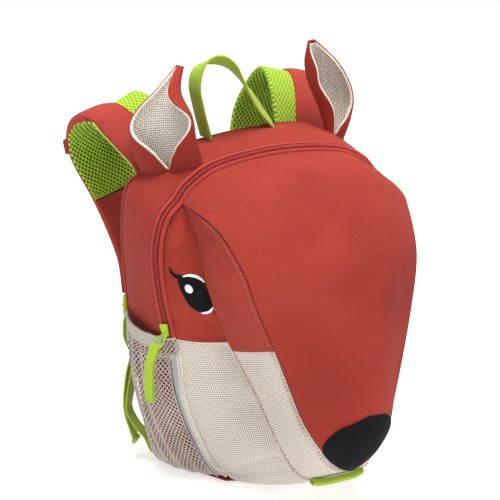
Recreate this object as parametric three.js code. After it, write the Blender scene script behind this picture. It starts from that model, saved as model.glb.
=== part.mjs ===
// A kids backpack shaped as an animal head, in millimetres.
// X runs across the bag, -Y is its front, +Y lies on the wearer's back and +Z is up.
// The origin is the middle of the bottom, on the floor and in the plane of the zip.
import * as THREE from "three";

// Thicknesses and clearances
const GAP = 0.3;
const CLOTH = 2;
const LINING = 1.2;
const NET = 1.2;
const HEM = 1.8;
const PATCH = 1.2;
const WEBBING = 1.8;
const BACK_PAD = 6;
const BOTTOM = 2;
const BOTTOM_INSET = { side: 2.5, front: 0.4, back: 0.3 }; // clear of the pockets, the cheek and the back

// Body
const WALL_FRONT_Y = 7; // front edge of the wall, behind the zip's plane
const BACK_Y = 62; // back edge of the wall
const WALL_BULGE = 2;
const WALL_BACK_PULL = 0.95; // the wall flares, so its inner edge reaches further back than its outer one
const RIM_INSET = 6; // the front panels start this far inside the rim
const RIM_FRONT_Y = -3;
const ZIP_ROUND = 2; // how far the zip and the piping round the rim
const ZIP_COIL = 1.2;
const PIPING_ROUND = 3.2;
const PANEL_PUFF = 4; // how far the eye and cheek panels swell
const GUSSET_PUFF = 2;

// One row for each level of the left half, from the corner of the forehead down to the middle of the chin.
// rim: the bag's outline in the plane of the zip. back: half its width at the back, and the height there.
// seam: the foot of the snout. edge: the border of the face panel. mid: the face's centre line.
// The first row of seam, edge and mid lies on the rim.
const LEVELS = [
  { rim: [101, 0, 268], back: [107, 275], seam: null, edge: null, mid: null },
  { rim: [113, 0, 256], back: [117.5, 267], seam: [93, -9, 250], edge: [96, -46, 259], mid: [-50, 289] },
  { rim: [120, 0, 238], back: [122.5, 250], seam: [90, -16, 234], edge: [91, -67, 247], mid: [-82, 270] },
  { rim: [122, 0, 214], back: [124.5, 220], seam: [88, -23, 209], edge: [84.5, -88, 222], mid: [-108, 238] },
  { rim: [118, 0, 180], back: [122, 180], seam: [81, -27, 178], edge: [79, -96, 197], mid: [-121, 201] },
  { rim: [110, 0, 143], back: [118, 143], seam: [69, -31, 144], edge: [67, -105, 161], mid: [-128, 161] },
  { rim: [101, 0, 96], back: [112, 96], seam: [54, -47, 105], edge: [56.5, -111, 129], mid: [-131, 127] },
  { rim: [88, 0, 55], back: [106, 55], seam: [46, -66, 71], edge: [46, -116, 98], mid: [-134, 98] },
  { rim: [66, 0, 11], back: [95, 11], seam: [39, -87, 43], edge: [36, -123, 77], mid: [-136, 77] },
  { rim: [44, -16, 1], back: [66, 1], seam: [29, -100, 34], edge: [20, -123, 57], mid: [-131, 57] },
  { rim: [0, -32, 1], back: [0, 1], seam: [0, -106, 37], edge: [0, -120, 46], mid: [-121, 45] },
];
// The rim over the top, from the right end of LEVELS to the left, and the height at the back.
const TOP_ARC = [
  { x: 89, z: 281, back: 286 },
  { x: 60, z: 295, back: 297 },
  { x: 0, z: 301, back: 302 },
  { x: -60, z: 295, back: 297 },
  { x: -89, z: 281, back: 286 },
];
const BORDER = 5; // the level where the red of eyes and gussets meets the cream
const TIP = 0.2; // the level where the narrow upper ends of the panels begin
const FACE_END = 9.8; // the level where the face panel ends, under the nose
const WALL_END = 8.4; // the level where the wall meets the bottom
const CHIN = LEVELS.length - 1;
const LOOP = 2 * CHIN + 1 + TOP_ARC.length;

const COLORS = {
  red: { color: 0xb8423b, roughness: 0.85, metalness: 0 },
  cream: { color: 0xe1d7c8, roughness: 0.9, metalness: 0 },
  lime: { color: 0xa5cd32, roughness: 0.75, metalness: 0 },
  limePlastic: { color: 0xa8d028, roughness: 0.4, metalness: 0 },
  black: { color: 0x202028, roughness: 0.9, metalness: 0 },
  grey: { color: 0xaab0b6, roughness: 0.4, metalness: 0 },
  net: { color: 0xbeb9b2, roughness: 0.9, metalness: 0 },
};

const bag = new THREE.Group();
const rightSide = new THREE.Group(); // holds the mirrored copies
rightSide.scale.x = -1;
bag.add(rightSide);

function addPiece(name, geometry, finish, parent = bag) {
  const mesh = new THREE.Mesh(geometry, new THREE.MeshStandardMaterial(COLORS[finish]));
  mesh.name = name;
  parent.add(mesh);
  return mesh;
}

// A piece of the left side and its mirror image.
function addPair(name, geometry, finish) {
  addPiece(`${name}_left`, geometry, finish);
  addPiece(`${name}_right`, geometry, finish, rightSide);
}

function smoothCurve(points, closed = false) {
  return new THREE.CatmullRomCurve3(points, closed, "catmullrom", 0.5);
}

function steps(from, to, count) {
  return Array.from({ length: count + 1 }, (_, i) => from + ((to - from) * i) / count);
}

function smoothstep(low, high, x) {
  return THREE.MathUtils.smoothstep(x, low, high);
}

// A cloth piece: surface(u, v) is its outer side, and it is thick towards the inside.
// The outside is where the u direction crossed with the v direction points.
// pullU and pullV are the distances that the piece stops short of its u and v borders.
// rise lifts the outer side off the surface.
function sheet(surface, { us, vs, thick, rise = 0, pullU = [0, 0], pullV = [0, 0] }) {
  const step = 1e-3;
  const span = (list) => list[list.length - 1] - list[0];
  const between = (value, list) => (value - list[0]) / span(list);
  const hand = Math.sign(span(us) * span(vs));
  const lengthV = (u) => {
    const points = steps(vs[0], vs[vs.length - 1], 8).map((v) => surface(u, v));
    return points.slice(1).reduce((sum, p, i) => sum + p.distanceTo(points[i]), 0);
  };
  const middleV = (vs[0] + vs[vs.length - 1]) / 2;
  const middle = us.map((u) => surface(u, middleV));
  const lengthU = middle.slice(1).reduce((sum, p, i) => sum + p.distanceTo(middle[i]), 0);
  const trimmed = (value, list, pull, length) => {
    const low = pull[0] / length;
    const high = 1 - pull[1] / length;
    return list[0] + span(list) * (low + (high - low) * between(value, list));
  };
  const outer = [];
  const inner = [];
  for (const uRaw of us) {
    const u = trimmed(uRaw, us, pullU, lengthU);
    const length = lengthV(u);
    for (const vRaw of vs) {
      const v = trimmed(vRaw, vs, pullV, length);
      const p = surface(u, v);
      const alongU = surface(u + step, v).sub(surface(u - step, v));
      const alongV = surface(u, v + step).sub(surface(u, v - step));
      const normal = alongU.cross(alongV).normalize().multiplyScalar(hand);
      const depth = typeof thick === "function" ? thick(u, v) : thick;
      outer.push(p.clone().addScaledVector(normal, rise));
      inner.push(p.clone().addScaledVector(normal, rise - depth));
    }
  }
  const columns = vs.length;
  const at = (i, j) => i * columns + j;
  const under = (i, j) => outer.length + at(i, j);
  const index = [];
  const quad = (a, b, c, d) => index.push(a, b, c, a, c, d);
  const lastU = us.length - 1;
  const lastV = columns - 1;
  for (let i = 0; i < lastU; i++) {
    for (let j = 0; j < lastV; j++) {
      quad(at(i, j), at(i + 1, j), at(i + 1, j + 1), at(i, j + 1));
      quad(under(i, j), under(i, j + 1), under(i + 1, j + 1), under(i + 1, j));
    }
    quad(at(i, 0), under(i, 0), under(i + 1, 0), at(i + 1, 0));
    quad(at(i, lastV), at(i + 1, lastV), under(i + 1, lastV), under(i, lastV));
  }
  for (let j = 0; j < lastV; j++) {
    quad(at(0, j), at(0, j + 1), under(0, j + 1), under(0, j));
    quad(at(lastU, j), under(lastU, j), under(lastU, j + 1), at(lastU, j + 1));
  }
  return new THREE.BufferGeometry().setFromPoints([...outer, ...inner]).setIndex(index);
}

// A flat band of webbing along a path. across(t) gives the direction across it.
function band(path, { width, across, thick, count }) {
  const surface = (u, v) => {
    const t = THREE.MathUtils.clamp(u, 0, 1);
    const p = path.getPoint(t);
    const forward = path.getTangent(t);
    const side = across(t);
    side.addScaledVector(forward, -side.dot(forward)).normalize();
    const normal = forward.clone().cross(side);
    p.addScaledVector(side, v * width).addScaledVector(normal, thick / 2);
    return p.addScaledVector(forward, u - t);
  };
  return sheet(surface, { us: steps(0, 1, count), vs: [-0.5, 0, 0.5], thick });
}

// The bag's main lines

function mirrored(point) {
  return new THREE.Vector3(-point.x, point.y, point.z);
}

// The left half's points, from the top down, and then the right half's, from the chin up.
function bothHalves(left) {
  return [...left, ...left.slice(0, CHIN).reverse().map(mirrored)];
}

const leftPoint = ([x, y, z]) => new THREE.Vector3(-x, y, z);
const rimLoop = smoothCurve(
  [
    ...bothHalves(LEVELS.map(({ rim }) => leftPoint(rim))),
    ...TOP_ARC.map(({ x, z }) => new THREE.Vector3(x, 0, z)),
  ],
  true,
);
const backLoop = smoothCurve(
  [
    ...bothHalves(LEVELS.map(({ back }) => leftPoint([back[0], BACK_Y, back[1]]))),
    ...TOP_ARC.map(({ x, back }) => new THREE.Vector3(x, BACK_Y, back)),
  ],
  true,
);
// Places on the loops count in levels. The top arc runs from TOP_RIGHT to TOP_LEFT, and the chin is at CHIN.
const TOP_LEFT = LOOP;
const TOP_RIGHT = 2 * CHIN;
const rimAt = (k) => rimLoop.getPoint((k + LOOP) / LOOP - Math.floor((k + LOOP) / LOOP));
const backAt = (k) => backLoop.getPoint((k + LOOP) / LOOP - Math.floor((k + LOOP) / LOOP));

function inwardAt(k) {
  const step = 0.01;
  const along = rimAt(k + step).sub(rimAt(k - step));
  return new THREE.Vector3(-along.z, 0, along.x).normalize();
}

// Where the front panels start: inside the rim, but on the rim itself along the bottom.
function frontRimAt(k) {
  const fromChin = Math.abs((k % LOOP) - CHIN);
  const lifted = smoothstep(1.1, 1.8, fromChin);
  const p = rimAt(k).addScaledVector(inwardAt(k), RIM_INSET * lifted);
  p.y += RIM_FRONT_Y * lifted;
  return p;
}

const seamLine = smoothCurve(bothHalves(LEVELS.map(({ seam }) => (seam ? leftPoint(seam) : frontRimAt(0)))));
const edgeLine = smoothCurve(bothHalves(LEVELS.map(({ edge }) => (edge ? leftPoint(edge) : frontRimAt(0)))));
const crownTop = frontRimAt((TOP_LEFT + TOP_RIGHT) / 2);
const midLine = smoothCurve(LEVELS.map(({ mid }) => (mid ? new THREE.Vector3(0, ...mid) : crownTop)));
const seamAt = (k) => seamLine.getPoint(THREE.MathUtils.clamp(k / TOP_RIGHT, 0, 1));
const edgeAt = (k) => edgeLine.getPoint(THREE.MathUtils.clamp(k / TOP_RIGHT, 0, 1));

// A strip of the front between two lines, swollen in the middle.
function strip(from, to, puff) {
  return (k, v) => {
    const a = from(k);
    const b = to(k);
    const along = to(k + 0.01).add(from(k + 0.01)).sub(to(k - 0.01)).sub(from(k - 0.01));
    const normal = along.cross(b.clone().sub(a)).normalize();
    const room = Math.min(1, a.distanceTo(b) / 30);
    return a.lerp(b, v).addScaledVector(normal, puff * room * 4 * v * (1 - v));
  };
}

// Body wall, back, bottom

function wallSurface(k, v) {
  const front = rimAt(k).setY(WALL_FRONT_Y);
  return backAt(k).lerp(front, v).addScaledVector(inwardAt(k), -WALL_BULGE * Math.sin(Math.PI * v));
}

const HALF_STEPS = 2; // each level is cut in two
const wallStart = CHIN + (CHIN - WALL_END);
const wallStop = LOOP + WALL_END;
// The stations of the rim between two places, so that neighbours share their corners.
function stations(from, to) {
  const list = [from];
  for (let k = Math.floor(from * HALF_STEPS + 1) / HALF_STEPS; k < to - 0.01; k += 1 / HALF_STEPS) {
    list.push(k);
  }
  return [...list, to];
}

function buildBody() {
  const wallStations = stations(wallStart, wallStop);
  addPiece(
    "body_wall",
    sheet(wallSurface, { us: wallStations, vs: steps(0, 1, 3), thick: CLOTH, pullV: [WALL_BACK_PULL, GAP] }),
    "red",
  );

  const bevel = 1.5;
  const outline = wallStations.map((k) => backAt(k)).map((p) => new THREE.Vector2(p.x, p.z));
  const back = new THREE.ExtrudeGeometry(new THREE.Shape(outline), {
    depth: BACK_PAD - 2 * bevel,
    bevelThickness: bevel,
    bevelSize: bevel,
    bevelOffset: -bevel,
    bevelSegments: 1,
  });
  back.rotateX(Math.PI / 2);
  back.translate(0, BACK_Y + GAP + BACK_PAD - bevel, 0);
  addPiece("back_panel", back, "red");

  // The bottom follows the chin in front and the wall's lower edges at the sides.
  const { side, front, back: behind } = BOTTOM_INSET;
  const inset = (p, dy) => new THREE.Vector2(p.x - Math.sign(p.x) * side, p.y + dy);
  const chinArc = stations(WALL_END, wallStart).map((k) => inset(rimAt(k), front));
  const edge = (k) => steps(1, 0, 3).map((v) => inset(wallSurface(k, v), v > 0 ? 0 : -behind));
  const shape = new THREE.Shape([...chinArc, ...edge(wallStart), ...edge(WALL_END).reverse()]);
  addPiece("bottom_panel", new THREE.ExtrudeGeometry(shape, { depth: BOTTOM, bevelEnabled: false }), "red");
}

// Zip and piping: strips that round the rim between the wall and the front panels.
function rimStrip(round, ridge) {
  return (k, v) => {
    const wall = rimAt(k).setY(WALL_FRONT_Y);
    const outward = inwardAt(k).negate().add(new THREE.Vector3(0, -1, 0)).normalize();
    const raised = round * 4 * v * (1 - v) + ridge * (1 - smoothstep(0.14, 0.2, Math.abs(v - 0.5)));
    return wall.lerp(frontRimAt(k), v).addScaledVector(outward, raised);
  };
}

const ZIP_SAMPLES = [0, 0.3, 0.36, 0.64, 0.7, 1];
const PIPING_START = 5.15;
const PIPING_STOP = 8.2;

function buildZip() {
  const zipStart = TOP_RIGHT - BORDER;
  const zipStop = LOOP + BORDER;
  const us = stations(zipStart, zipStop);
  const pullV = [GAP / 2, GAP];
  addPiece(
    "zip_tape",
    sheet(rimStrip(ZIP_ROUND, ZIP_COIL), { us, vs: ZIP_SAMPLES, thick: 1.4, pullU: [1, 1], pullV }),
    "red",
  );
  addPair(
    "piping",
    sheet(rimStrip(PIPING_ROUND, 0), {
      us: stations(LOOP + PIPING_START, LOOP + PIPING_STOP),
      vs: steps(0, 1, 4),
      thick: 1.6,
      pullV,
    }),
    "grey",
  );
  buildSlider();
}

const SLIDER = { level: 4.72, width: 9, length: 13, height: 5 };
const PULLER = { width: 9, thick: 2.4 };

function buildSlider() {
  const zip = rimStrip(ZIP_ROUND, ZIP_COIL);
  const k = LOOP + SLIDER.level;
  const seat = zip(k, 0.5);
  const down = zip(k + 0.02, 0.5).sub(zip(k - 0.02, 0.5)).normalize();
  const out = inwardAt(k).negate().add(new THREE.Vector3(0, -1, 0)).normalize();
  const side = down.clone().cross(out);
  const centre = seat.clone().addScaledVector(out, GAP + SLIDER.height / 2);
  const slider = new THREE.BoxGeometry(SLIDER.width, SLIDER.length, SLIDER.height);
  slider.applyMatrix4(new THREE.Matrix4().makeBasis(side, down, out).setPosition(centre));
  addPiece("zip_slider", slider, "limePlastic");

  const top = centre.clone().addScaledVector(down, SLIDER.length / 2 + 1.4).addScaledVector(out, 1.6);
  const path = smoothCurve([
    top,
    new THREE.Vector3(-122, 3, 137),
    new THREE.Vector3(-124, 13, 120),
    new THREE.Vector3(-122, 18.5, 86),
  ]);
  const across = () => new THREE.Vector3(-0.35, -1, 0);
  addPiece("zip_puller", band(path, { width: PULLER.width, across, thick: PULLER.thick, count: 6 }), "lime");
}

// Front of the head

function buildFront() {
  const eyeRows = stations(TIP, BORDER);
  const across = steps(0, 1, 4);
  const base = strip(frontRimAt, seamAt, PANEL_PUFF);
  const gusset = strip(seamAt, edgeAt, GUSSET_PUFF);
  const hug = GAP / 2;
  const under = 2.1 * CLOTH + GAP; // the gusset's border tucks under the face panel
  addPair(
    "eye_panel",
    sheet(base, { us: eyeRows, vs: across, thick: CLOTH, pullU: [0, hug], pullV: [GAP, hug] }),
    "red",
  );
  addPair(
    "snout_gusset",
    sheet(gusset, { us: eyeRows, vs: across, thick: CLOTH, pullU: [0, hug], pullV: [hug, under] }),
    "red",
  );
  const chinRows = stations(BORDER, TOP_RIGHT - BORDER);
  addPiece(
    "cheek_panel",
    sheet(base, { us: chinRows, vs: across, thick: CLOTH, pullU: [hug, hug], pullV: [GAP, hug] }),
    "cream",
  );
  addPiece(
    "snout_band",
    sheet(gusset, { us: chinRows, vs: steps(0, 1, 3), thick: CLOTH, pullU: [hug, hug], pullV: [hug, under] }),
    "cream",
  );
}

// The face panel: k runs across it, from TOP_LEFT at the left border to TOP_RIGHT at the right one.
function faceSurface(level, k) {
  const top = frontRimAt(k);
  const edgeTop = edgeAt(0);
  const share = top.x / edgeTop.x; // 1 at the left border, -1 at the right
  const crown = (row) => {
    const edge = edgeAt(row);
    const mid = midLine.getPoint(THREE.MathUtils.clamp(row / CHIN, 0, 1));
    const power = THREE.MathUtils.lerp(3.4, 2.2, smoothstep(0, 3, row));
    const lift = 1 - Math.min(1, Math.abs(share)) ** power;
    const crowned = edge.clone().lerp(mid, lift);
    return crowned.setX(edge.x * share);
  };
  const fade = Math.max(0, 1 - level / 1.5) ** 2;
  return crown(level).addScaledVector(top.sub(crown(0)), fade);
}

const NOSE = { halfWidth: 0.86, lift: 0.8, top: 7.25, corner: 8.2, end: 9.7 };

function buildFace() {
  const across = stations(TOP_RIGHT, TOP_LEFT).reverse();
  const rows = stations(0, FACE_END);
  addPiece("face_panel", sheet(faceSurface, { us: rows, vs: across, thick: CLOTH, pullU: [GAP, 0] }), "red");

  // The nose lies on the end of the face panel, and its upper border is an arch.
  const half = (TOP_LEFT - TOP_RIGHT) / 2;
  const middle = TOP_RIGHT + half;
  const nose = (u, v) => {
    const sideways = Math.min(1, Math.abs(v));
    const top = NOSE.top + (NOSE.corner - NOSE.top) * sideways ** 2.5;
    return faceSurface(top + (NOSE.end - top) * u, middle - v * half * NOSE.halfWidth);
  };
  const patch = { us: steps(0, 1, 5), vs: steps(-1, 1, 8), thick: PATCH, rise: NOSE.lift + PATCH };
  addPiece("nose_patch", sheet(nose, patch), "black");
}

const TONGUE = { seat: 1.1, reach: 6, halfHeight: 3.2, halfSpan: 0.82, wall: 1.8 };

function buildTongue() {
  const out = new THREE.Vector3(0, -0.56, -0.83).normalize();
  const up = new THREE.Vector3(0, out.z, -out.y);
  const fold = (k, v) => {
    const angle = Math.PI * (0.5 - v);
    const straight = Math.max(0, Math.abs(v - 0.5) - 0.35) / 0.15; // 1 where the loop is sewn in
    const reach = TONGUE.reach * Math.max(0, Math.cos(angle)) ** 0.6;
    return seamAt(k)
      .addScaledVector(out, TONGUE.seat + reach)
      .addScaledVector(up, TONGUE.halfHeight * Math.sin(angle) * (1 - 0.25 * straight));
  };
  const us = steps(CHIN - TONGUE.halfSpan, CHIN + TONGUE.halfSpan, 6);
  addPiece("tongue_loop", sheet(fold, { us, vs: steps(0, 1, 8).reverse(), thick: TONGUE.wall }), "lime");
}

// Ears: a leaf of cloth whose foot is folded into a cone, with a lining inside.
// foot and tip are their places, facing turns the opening sideways, and lean and bow bend them sideways.
// half, depth, near and far are rows from foot to tip: half the width, the depth, and how far the cloth is
// folded round on its right and on its left, in degrees.
const EARS = [
  {
    side: "left",
    foot: [-87.5, 33],
    tip: [-76, 44, 371],
    facing: -58,
    bow: -9,
    lean: 2.5,
    half: [24, 27.5, 27, 15, 3],
    depth: [11, 12, 12.5, 9, 3],
    near: [160, 140, 92, 110, 100],
    far: [160, 148, 90, 78, 70],
  },
  {
    side: "right",
    foot: [87, 41],
    tip: [62, 48, 379],
    facing: -28,
    bow: 3.3,
    lean: 1.3,
    half: [12, 17, 18.5, 14, 3],
    depth: [10, 11.5, 12, 9, 3],
    near: [155, 120, 92, 88, 70],
    far: [155, 150, 140, 120, 100],
  },
];

// The height of the wall's top at a place.
function roofZ(x, y) {
  const v = (BACK_Y - y) / (BACK_Y - WALL_FRONT_Y);
  let low = TOP_RIGHT - 2;
  let high = TOP_LEFT + 2;
  for (let i = 0; i < 30; i++) {
    const k = (low + high) / 2;
    if (wallSurface(k, v).x > x) low = k;
    else high = k;
  }
  return wallSurface(low, v).z;
}

function earSection(row, v) {
  const points = row.map((value, i) => new THREE.Vector3(i, value, 0));
  return smoothCurve(points).getPoint(THREE.MathUtils.clamp(v, 0, 1)).y;
}

function earSurface({ foot, tip, facing, bow, lean, half, depth, near, far }, inset) {
  const turn = THREE.MathUtils.degToRad(facing);
  return (v, u) => {
    const wrap = THREE.MathUtils.degToRad(earSection(u > 0 ? near : far, v)) * u;
    const sideways = (earSection(half, v) - inset) * Math.sin(wrap);
    const behind = (earSection(depth, v) - inset) * Math.cos(wrap);
    const x = sideways * Math.cos(turn) - behind * Math.sin(turn);
    const y = sideways * Math.sin(turn) + behind * Math.cos(turn);
    const footX = foot[0] + x;
    const footY = foot[1] + y;
    const inside = footX - Math.sign(x) * CLOTH; // where the foot's inner side stands
    const rise = Math.max(roofZ(footX, footY), roofZ(inside, footY)) + 4 * GAP;
    return new THREE.Vector3(
      footX + (tip[0] - foot[0]) * Math.max(0, v) ** lean + bow * Math.sin(Math.PI * v),
      footY + (tip[1] - foot[1]) * v,
      rise + (tip[2] - rise) * v,
    );
  };
}

function buildEars() {
  for (const ear of EARS) {
    const us = steps(0, 1, 7);
    addPiece(`ear_${ear.side}`, sheet(earSurface(ear, 0), { us, vs: steps(1, -1, 10), thick: CLOTH }), "red");
    const lining = sheet(earSurface(ear, CLOTH + 4 * GAP), {
      us: steps(0.06, 0.9, 7),
      vs: steps(0.9, -0.9, 10),
      thick: LINING,
    });
    addPiece(`ear_lining_${ear.side}`, lining, "cream");
  }
}

// Carry handle: a webbing loop that leans to the left.
const HANDLE = { width: 20, y: 56, leftFoot: -41, rightFoot: 26, seat: 1.3 };

function buildHandle() {
  const { y, leftFoot, rightFoot } = HANDLE;
  const point = (x, z) => new THREE.Vector3(x, y, z);
  const path = smoothCurve([
    point(leftFoot, roofZ(leftFoot, y) + HANDLE.seat),
    point(-50, 328),
    point(-55, 352),
    point(-48, 369),
    point(-32, 374),
    point(-15, 365),
    point(1, 341),
    point(15, 320),
    point(rightFoot, roofZ(rightFoot, y) + HANDLE.seat),
  ]);
  const across = () => new THREE.Vector3(0, 1, 0);
  addPiece("carry_handle", band(path, { width: HANDLE.width, across, thick: 2.4, count: 18 }), "lime");
}

// Shoulder straps. Each row is a place on both middle lines, from the sewn end to the adjuster.
// The straps sway to the left: the first number is how far a strap lies out from the bag's middle.
const STRAP_ROWS = [
  { width: 54, left: [72, 72.6, 262], right: [70, 72.6, 262] },
  { width: 56, left: [77, 76, 289], right: [71, 76, 294] },
  { width: 58, left: [92, 88, 312], right: [72, 88, 325] },
  { width: 58, left: [104, 106, 326], right: [72, 106, 340] },
  { width: 58, left: [112, 127, 317], right: [69, 127, 324] },
  { width: 58, left: [106, 142, 287], right: [63, 142, 291] },
  { width: 56, left: [88, 136, 242], right: [62, 141, 246] },
  { width: 48, left: [80, 117, 192], right: [72, 122, 192] },
  { width: 34, left: [87, 104, 152], right: [80, 104, 152] },
];
const STRAP_ACROSS = [
  { at: 0, dir: [0.96, 0, 0.28] },
  { at: 0.45, dir: [0.96, 0, 0.28] },
  { at: 0.75, dir: [0.98, 0.1, 0.15] },
  { at: 1, dir: [0.95, 0.3, 0.1] },
];
const COVER = 2.5;
const PAD = 5;
const LIME_SHARE = 0.24; // the share of the strap's width that the cover leaves bare on the neck side
const STRAP_STEPS = 28;
const MESH_STEPS = 21; // the steps of the strap's length that the mesh lines

const strapLines = {
  left: smoothCurve(STRAP_ROWS.map(({ left }) => leftPoint(left))),
  right: smoothCurve(STRAP_ROWS.map(({ right }) => leftPoint(right))),
};
const strapWidths = smoothCurve(STRAP_ROWS.map(({ width }, i) => new THREE.Vector3(i, width, 0)));

function strapAcross(t) {
  const after = STRAP_ACROSS.find((row) => row.at >= t && row.at > 0);
  const before = STRAP_ACROSS[STRAP_ACROSS.indexOf(after) - 1];
  const share = (t - before.at) / (after.at - before.at);
  return new THREE.Vector3(...before.dir).lerp(new THREE.Vector3(...after.dir), share);
}

// Both straps are worked out on the left, and the right one is mirrored.
function strapFrame(side, t) {
  const line = strapLines[side];
  const inside = THREE.MathUtils.clamp(t, 0, 1);
  const forward = line.getTangent(inside);
  const neck = strapAcross(inside);
  neck.addScaledVector(forward, -neck.dot(forward)).normalize();
  const centre = line.getPoint(inside).addScaledVector(forward, (t - inside) * line.getLength());
  return { centre, forward, neck, out: neck.clone().cross(forward), width: strapWidths.getPoint(inside).y };
}

// The surface where a strap's layers meet: across is 0 on the neck side and 1 on the outer side.
function strapSurface(side) {
  return (t, across) => {
    const { centre, neck, width } = strapFrame(side, t);
    return centre.addScaledVector(neck, width * (0.5 - across));
  };
}

const LOCK = { width: 34, length: 22, thick: 4, slotWidth: 27, slot: 5.5, bar: 4 };
const STRAP_WEBBING = 24;

function buildStrap(side, parent) {
  const surface = strapSurface(side);
  const across = [0, LIME_SHARE, 0.5, 0.76, 1];
  const pad = (_, v) => PAD * (0.55 + 0.45 * smoothstep(0, 0.2, Math.min(v, 1 - v)));
  const meshEnd = MESH_STEPS / STRAP_STEPS;
  const cover = { us: steps(0, 1, STRAP_STEPS), vs: across.slice(1), thick: COVER, rise: COVER + GAP };
  addPiece(`strap_cover_${side}`, sheet(surface, cover), "red", parent);
  const mesh = { us: steps(0, meshEnd, MESH_STEPS), vs: across, thick: pad, pullU: [0, GAP] };
  addPiece(`strap_mesh_${side}`, sheet(surface, mesh), "lime", parent);
  const lower = { us: steps(meshEnd, 1, STRAP_STEPS - MESH_STEPS), vs: across, thick: pad };
  addPiece(`strap_lower_${side}`, sheet(surface, lower), "red", parent);

  const tab = { us: [0.585, 0.615], vs: [0.55, 0.9], thick: WEBBING, rise: COVER + 3 * GAP + WEBBING };
  addPiece(`strap_tab_${side}`, sheet(surface, tab), "red", parent);
  buildAdjuster(side, parent);
}

function rectangle(Path, x, y, width, height) {
  const path = new Path();
  path.moveTo(x - width / 2, y - height / 2);
  path.lineTo(x + width / 2, y - height / 2);
  path.lineTo(x + width / 2, y + height / 2);
  path.lineTo(x - width / 2, y + height / 2);
  path.closePath();
  return path;
}

// The ladder lock at the strap's lower end, and the webbing that runs through it to the lower back corner.
function buildAdjuster(side, parent) {
  const frame = rectangle(THREE.Shape, 0, 0, LOCK.width, LOCK.length);
  const slotY = (LOCK.bar + LOCK.slot) / 2;
  for (const end of [-1, 1]) {
    frame.holes.push(rectangle(THREE.Path, 0, end * slotY, LOCK.slotWidth, LOCK.slot));
  }
  const lock = new THREE.ExtrudeGeometry(frame, { depth: LOCK.thick, bevelEnabled: false });
  lock.translate(0, 0, -LOCK.thick / 2);
  const { centre, forward, neck, out } = strapFrame(side, 1);
  const down = LOCK.length / 2 + GAP;
  const seat = centre.clone().addScaledVector(forward, down).addScaledVector(out, -PAD / 2);
  lock.applyMatrix4(new THREE.Matrix4().makeBasis(neck, forward, out).setPosition(seat));
  addPiece(`ladder_lock_${side}`, lock, "limePlastic", parent);

  // The webbing hangs double: from its tail up to the lock, round the lower bar and down to the anchor.
  const onLock = (along, height) => {
    return seat.clone().addScaledVector(forward, along).addScaledVector(out, height);
  };
  const route = smoothCurve([
    new THREE.Vector3(-96, 88, 19),
    new THREE.Vector3(-102, 99, 46),
    new THREE.Vector3(-100, 108, 80),
    onLock(22, 7),
    onLock(slotY + 6, 5.2),
    onLock(slotY, 0),
    onLock(slotY + 6, -5.2),
    onLock(22, -4.5),
    new THREE.Vector3(-97, 101, 80),
    new THREE.Vector3(-99, 92, 47),
    new THREE.Vector3(-97, 79, 31),
    new THREE.Vector3(-93, 71.6, 27),
  ]);
  const turned = new THREE.Vector3(0.8, 0.6, 0);
  const nearLock = (t) => 1 - smoothstep(0.05, 0.32, Math.abs(t - 0.47));
  const flat = new THREE.Vector3(1, 0, 0); // how it lies where it is sewn to the back
  const webbingAcross = (t) => turned.clone().lerp(neck, nearLock(t)).lerp(flat, smoothstep(0.85, 1, t));
  const webbing = band(route, { width: STRAP_WEBBING, across: webbingAcross, thick: WEBBING, count: 34 });
  addPiece(`strap_webbing_${side}`, webbing, "lime", parent);
}

// Net side pockets, which stand off the wall, and the gathered hem along each mouth.
const POCKET = { mouth: 4.95, backRise: 0.25, hem: 0.22, floor: 8.15, mouthBulge: 8, bulge: 13, edge: 0.5 };

function pocketSurface(extra) {
  return (u, v) => {
    const top = POCKET.mouth - POCKET.backRise * (1 - v);
    const inHem = u < 0;
    const netTop = top + POCKET.hem;
    const k = LOOP + (inHem ? netTop + POCKET.hem * u : netTop + (POCKET.floor - netTop) * u);
    const swell = inHem ? 0 : Math.sin(Math.PI * Math.min(1, u) ** 0.8);
    const closing = inHem ? 1 : 1 - u ** 3;
    const arch = Math.max(0, Math.sin(Math.PI * v)) ** 0.7;
    const bulge = POCKET.mouthBulge * closing + (POCKET.bulge - POCKET.mouthBulge) * swell;
    const off = POCKET.edge + extra + arch * bulge;
    const step = 1e-3;
    const alongK = wallSurface(k + step, v).sub(wallSurface(k - step, v));
    const alongV = wallSurface(k, v + step).sub(wallSurface(k, v - step));
    return wallSurface(k, v).addScaledVector(alongK.cross(alongV).normalize(), off);
  };
}

function buildPockets() {
  const vs = steps(0.03, 0.97, 8);
  const net = { us: steps(0, 1, 9), vs, thick: NET, pullU: [3 * GAP, 0] };
  addPair("mesh_pocket", sheet(pocketSurface(NET), net), "net");
  const hem = { us: [-1, 0], vs, thick: HEM };
  addPair("pocket_hem", sheet(pocketSurface(HEM), hem), "net");
}

buildBody();
buildZip();
buildFront();
buildFace();
buildTongue();
buildEars();
buildHandle();
buildStrap("left", bag);
buildStrap("right", rightSide);
buildPockets();

export default bag;
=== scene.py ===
import math

import bpy
import numpy as np
from mathutils import Matrix, Vector


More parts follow.
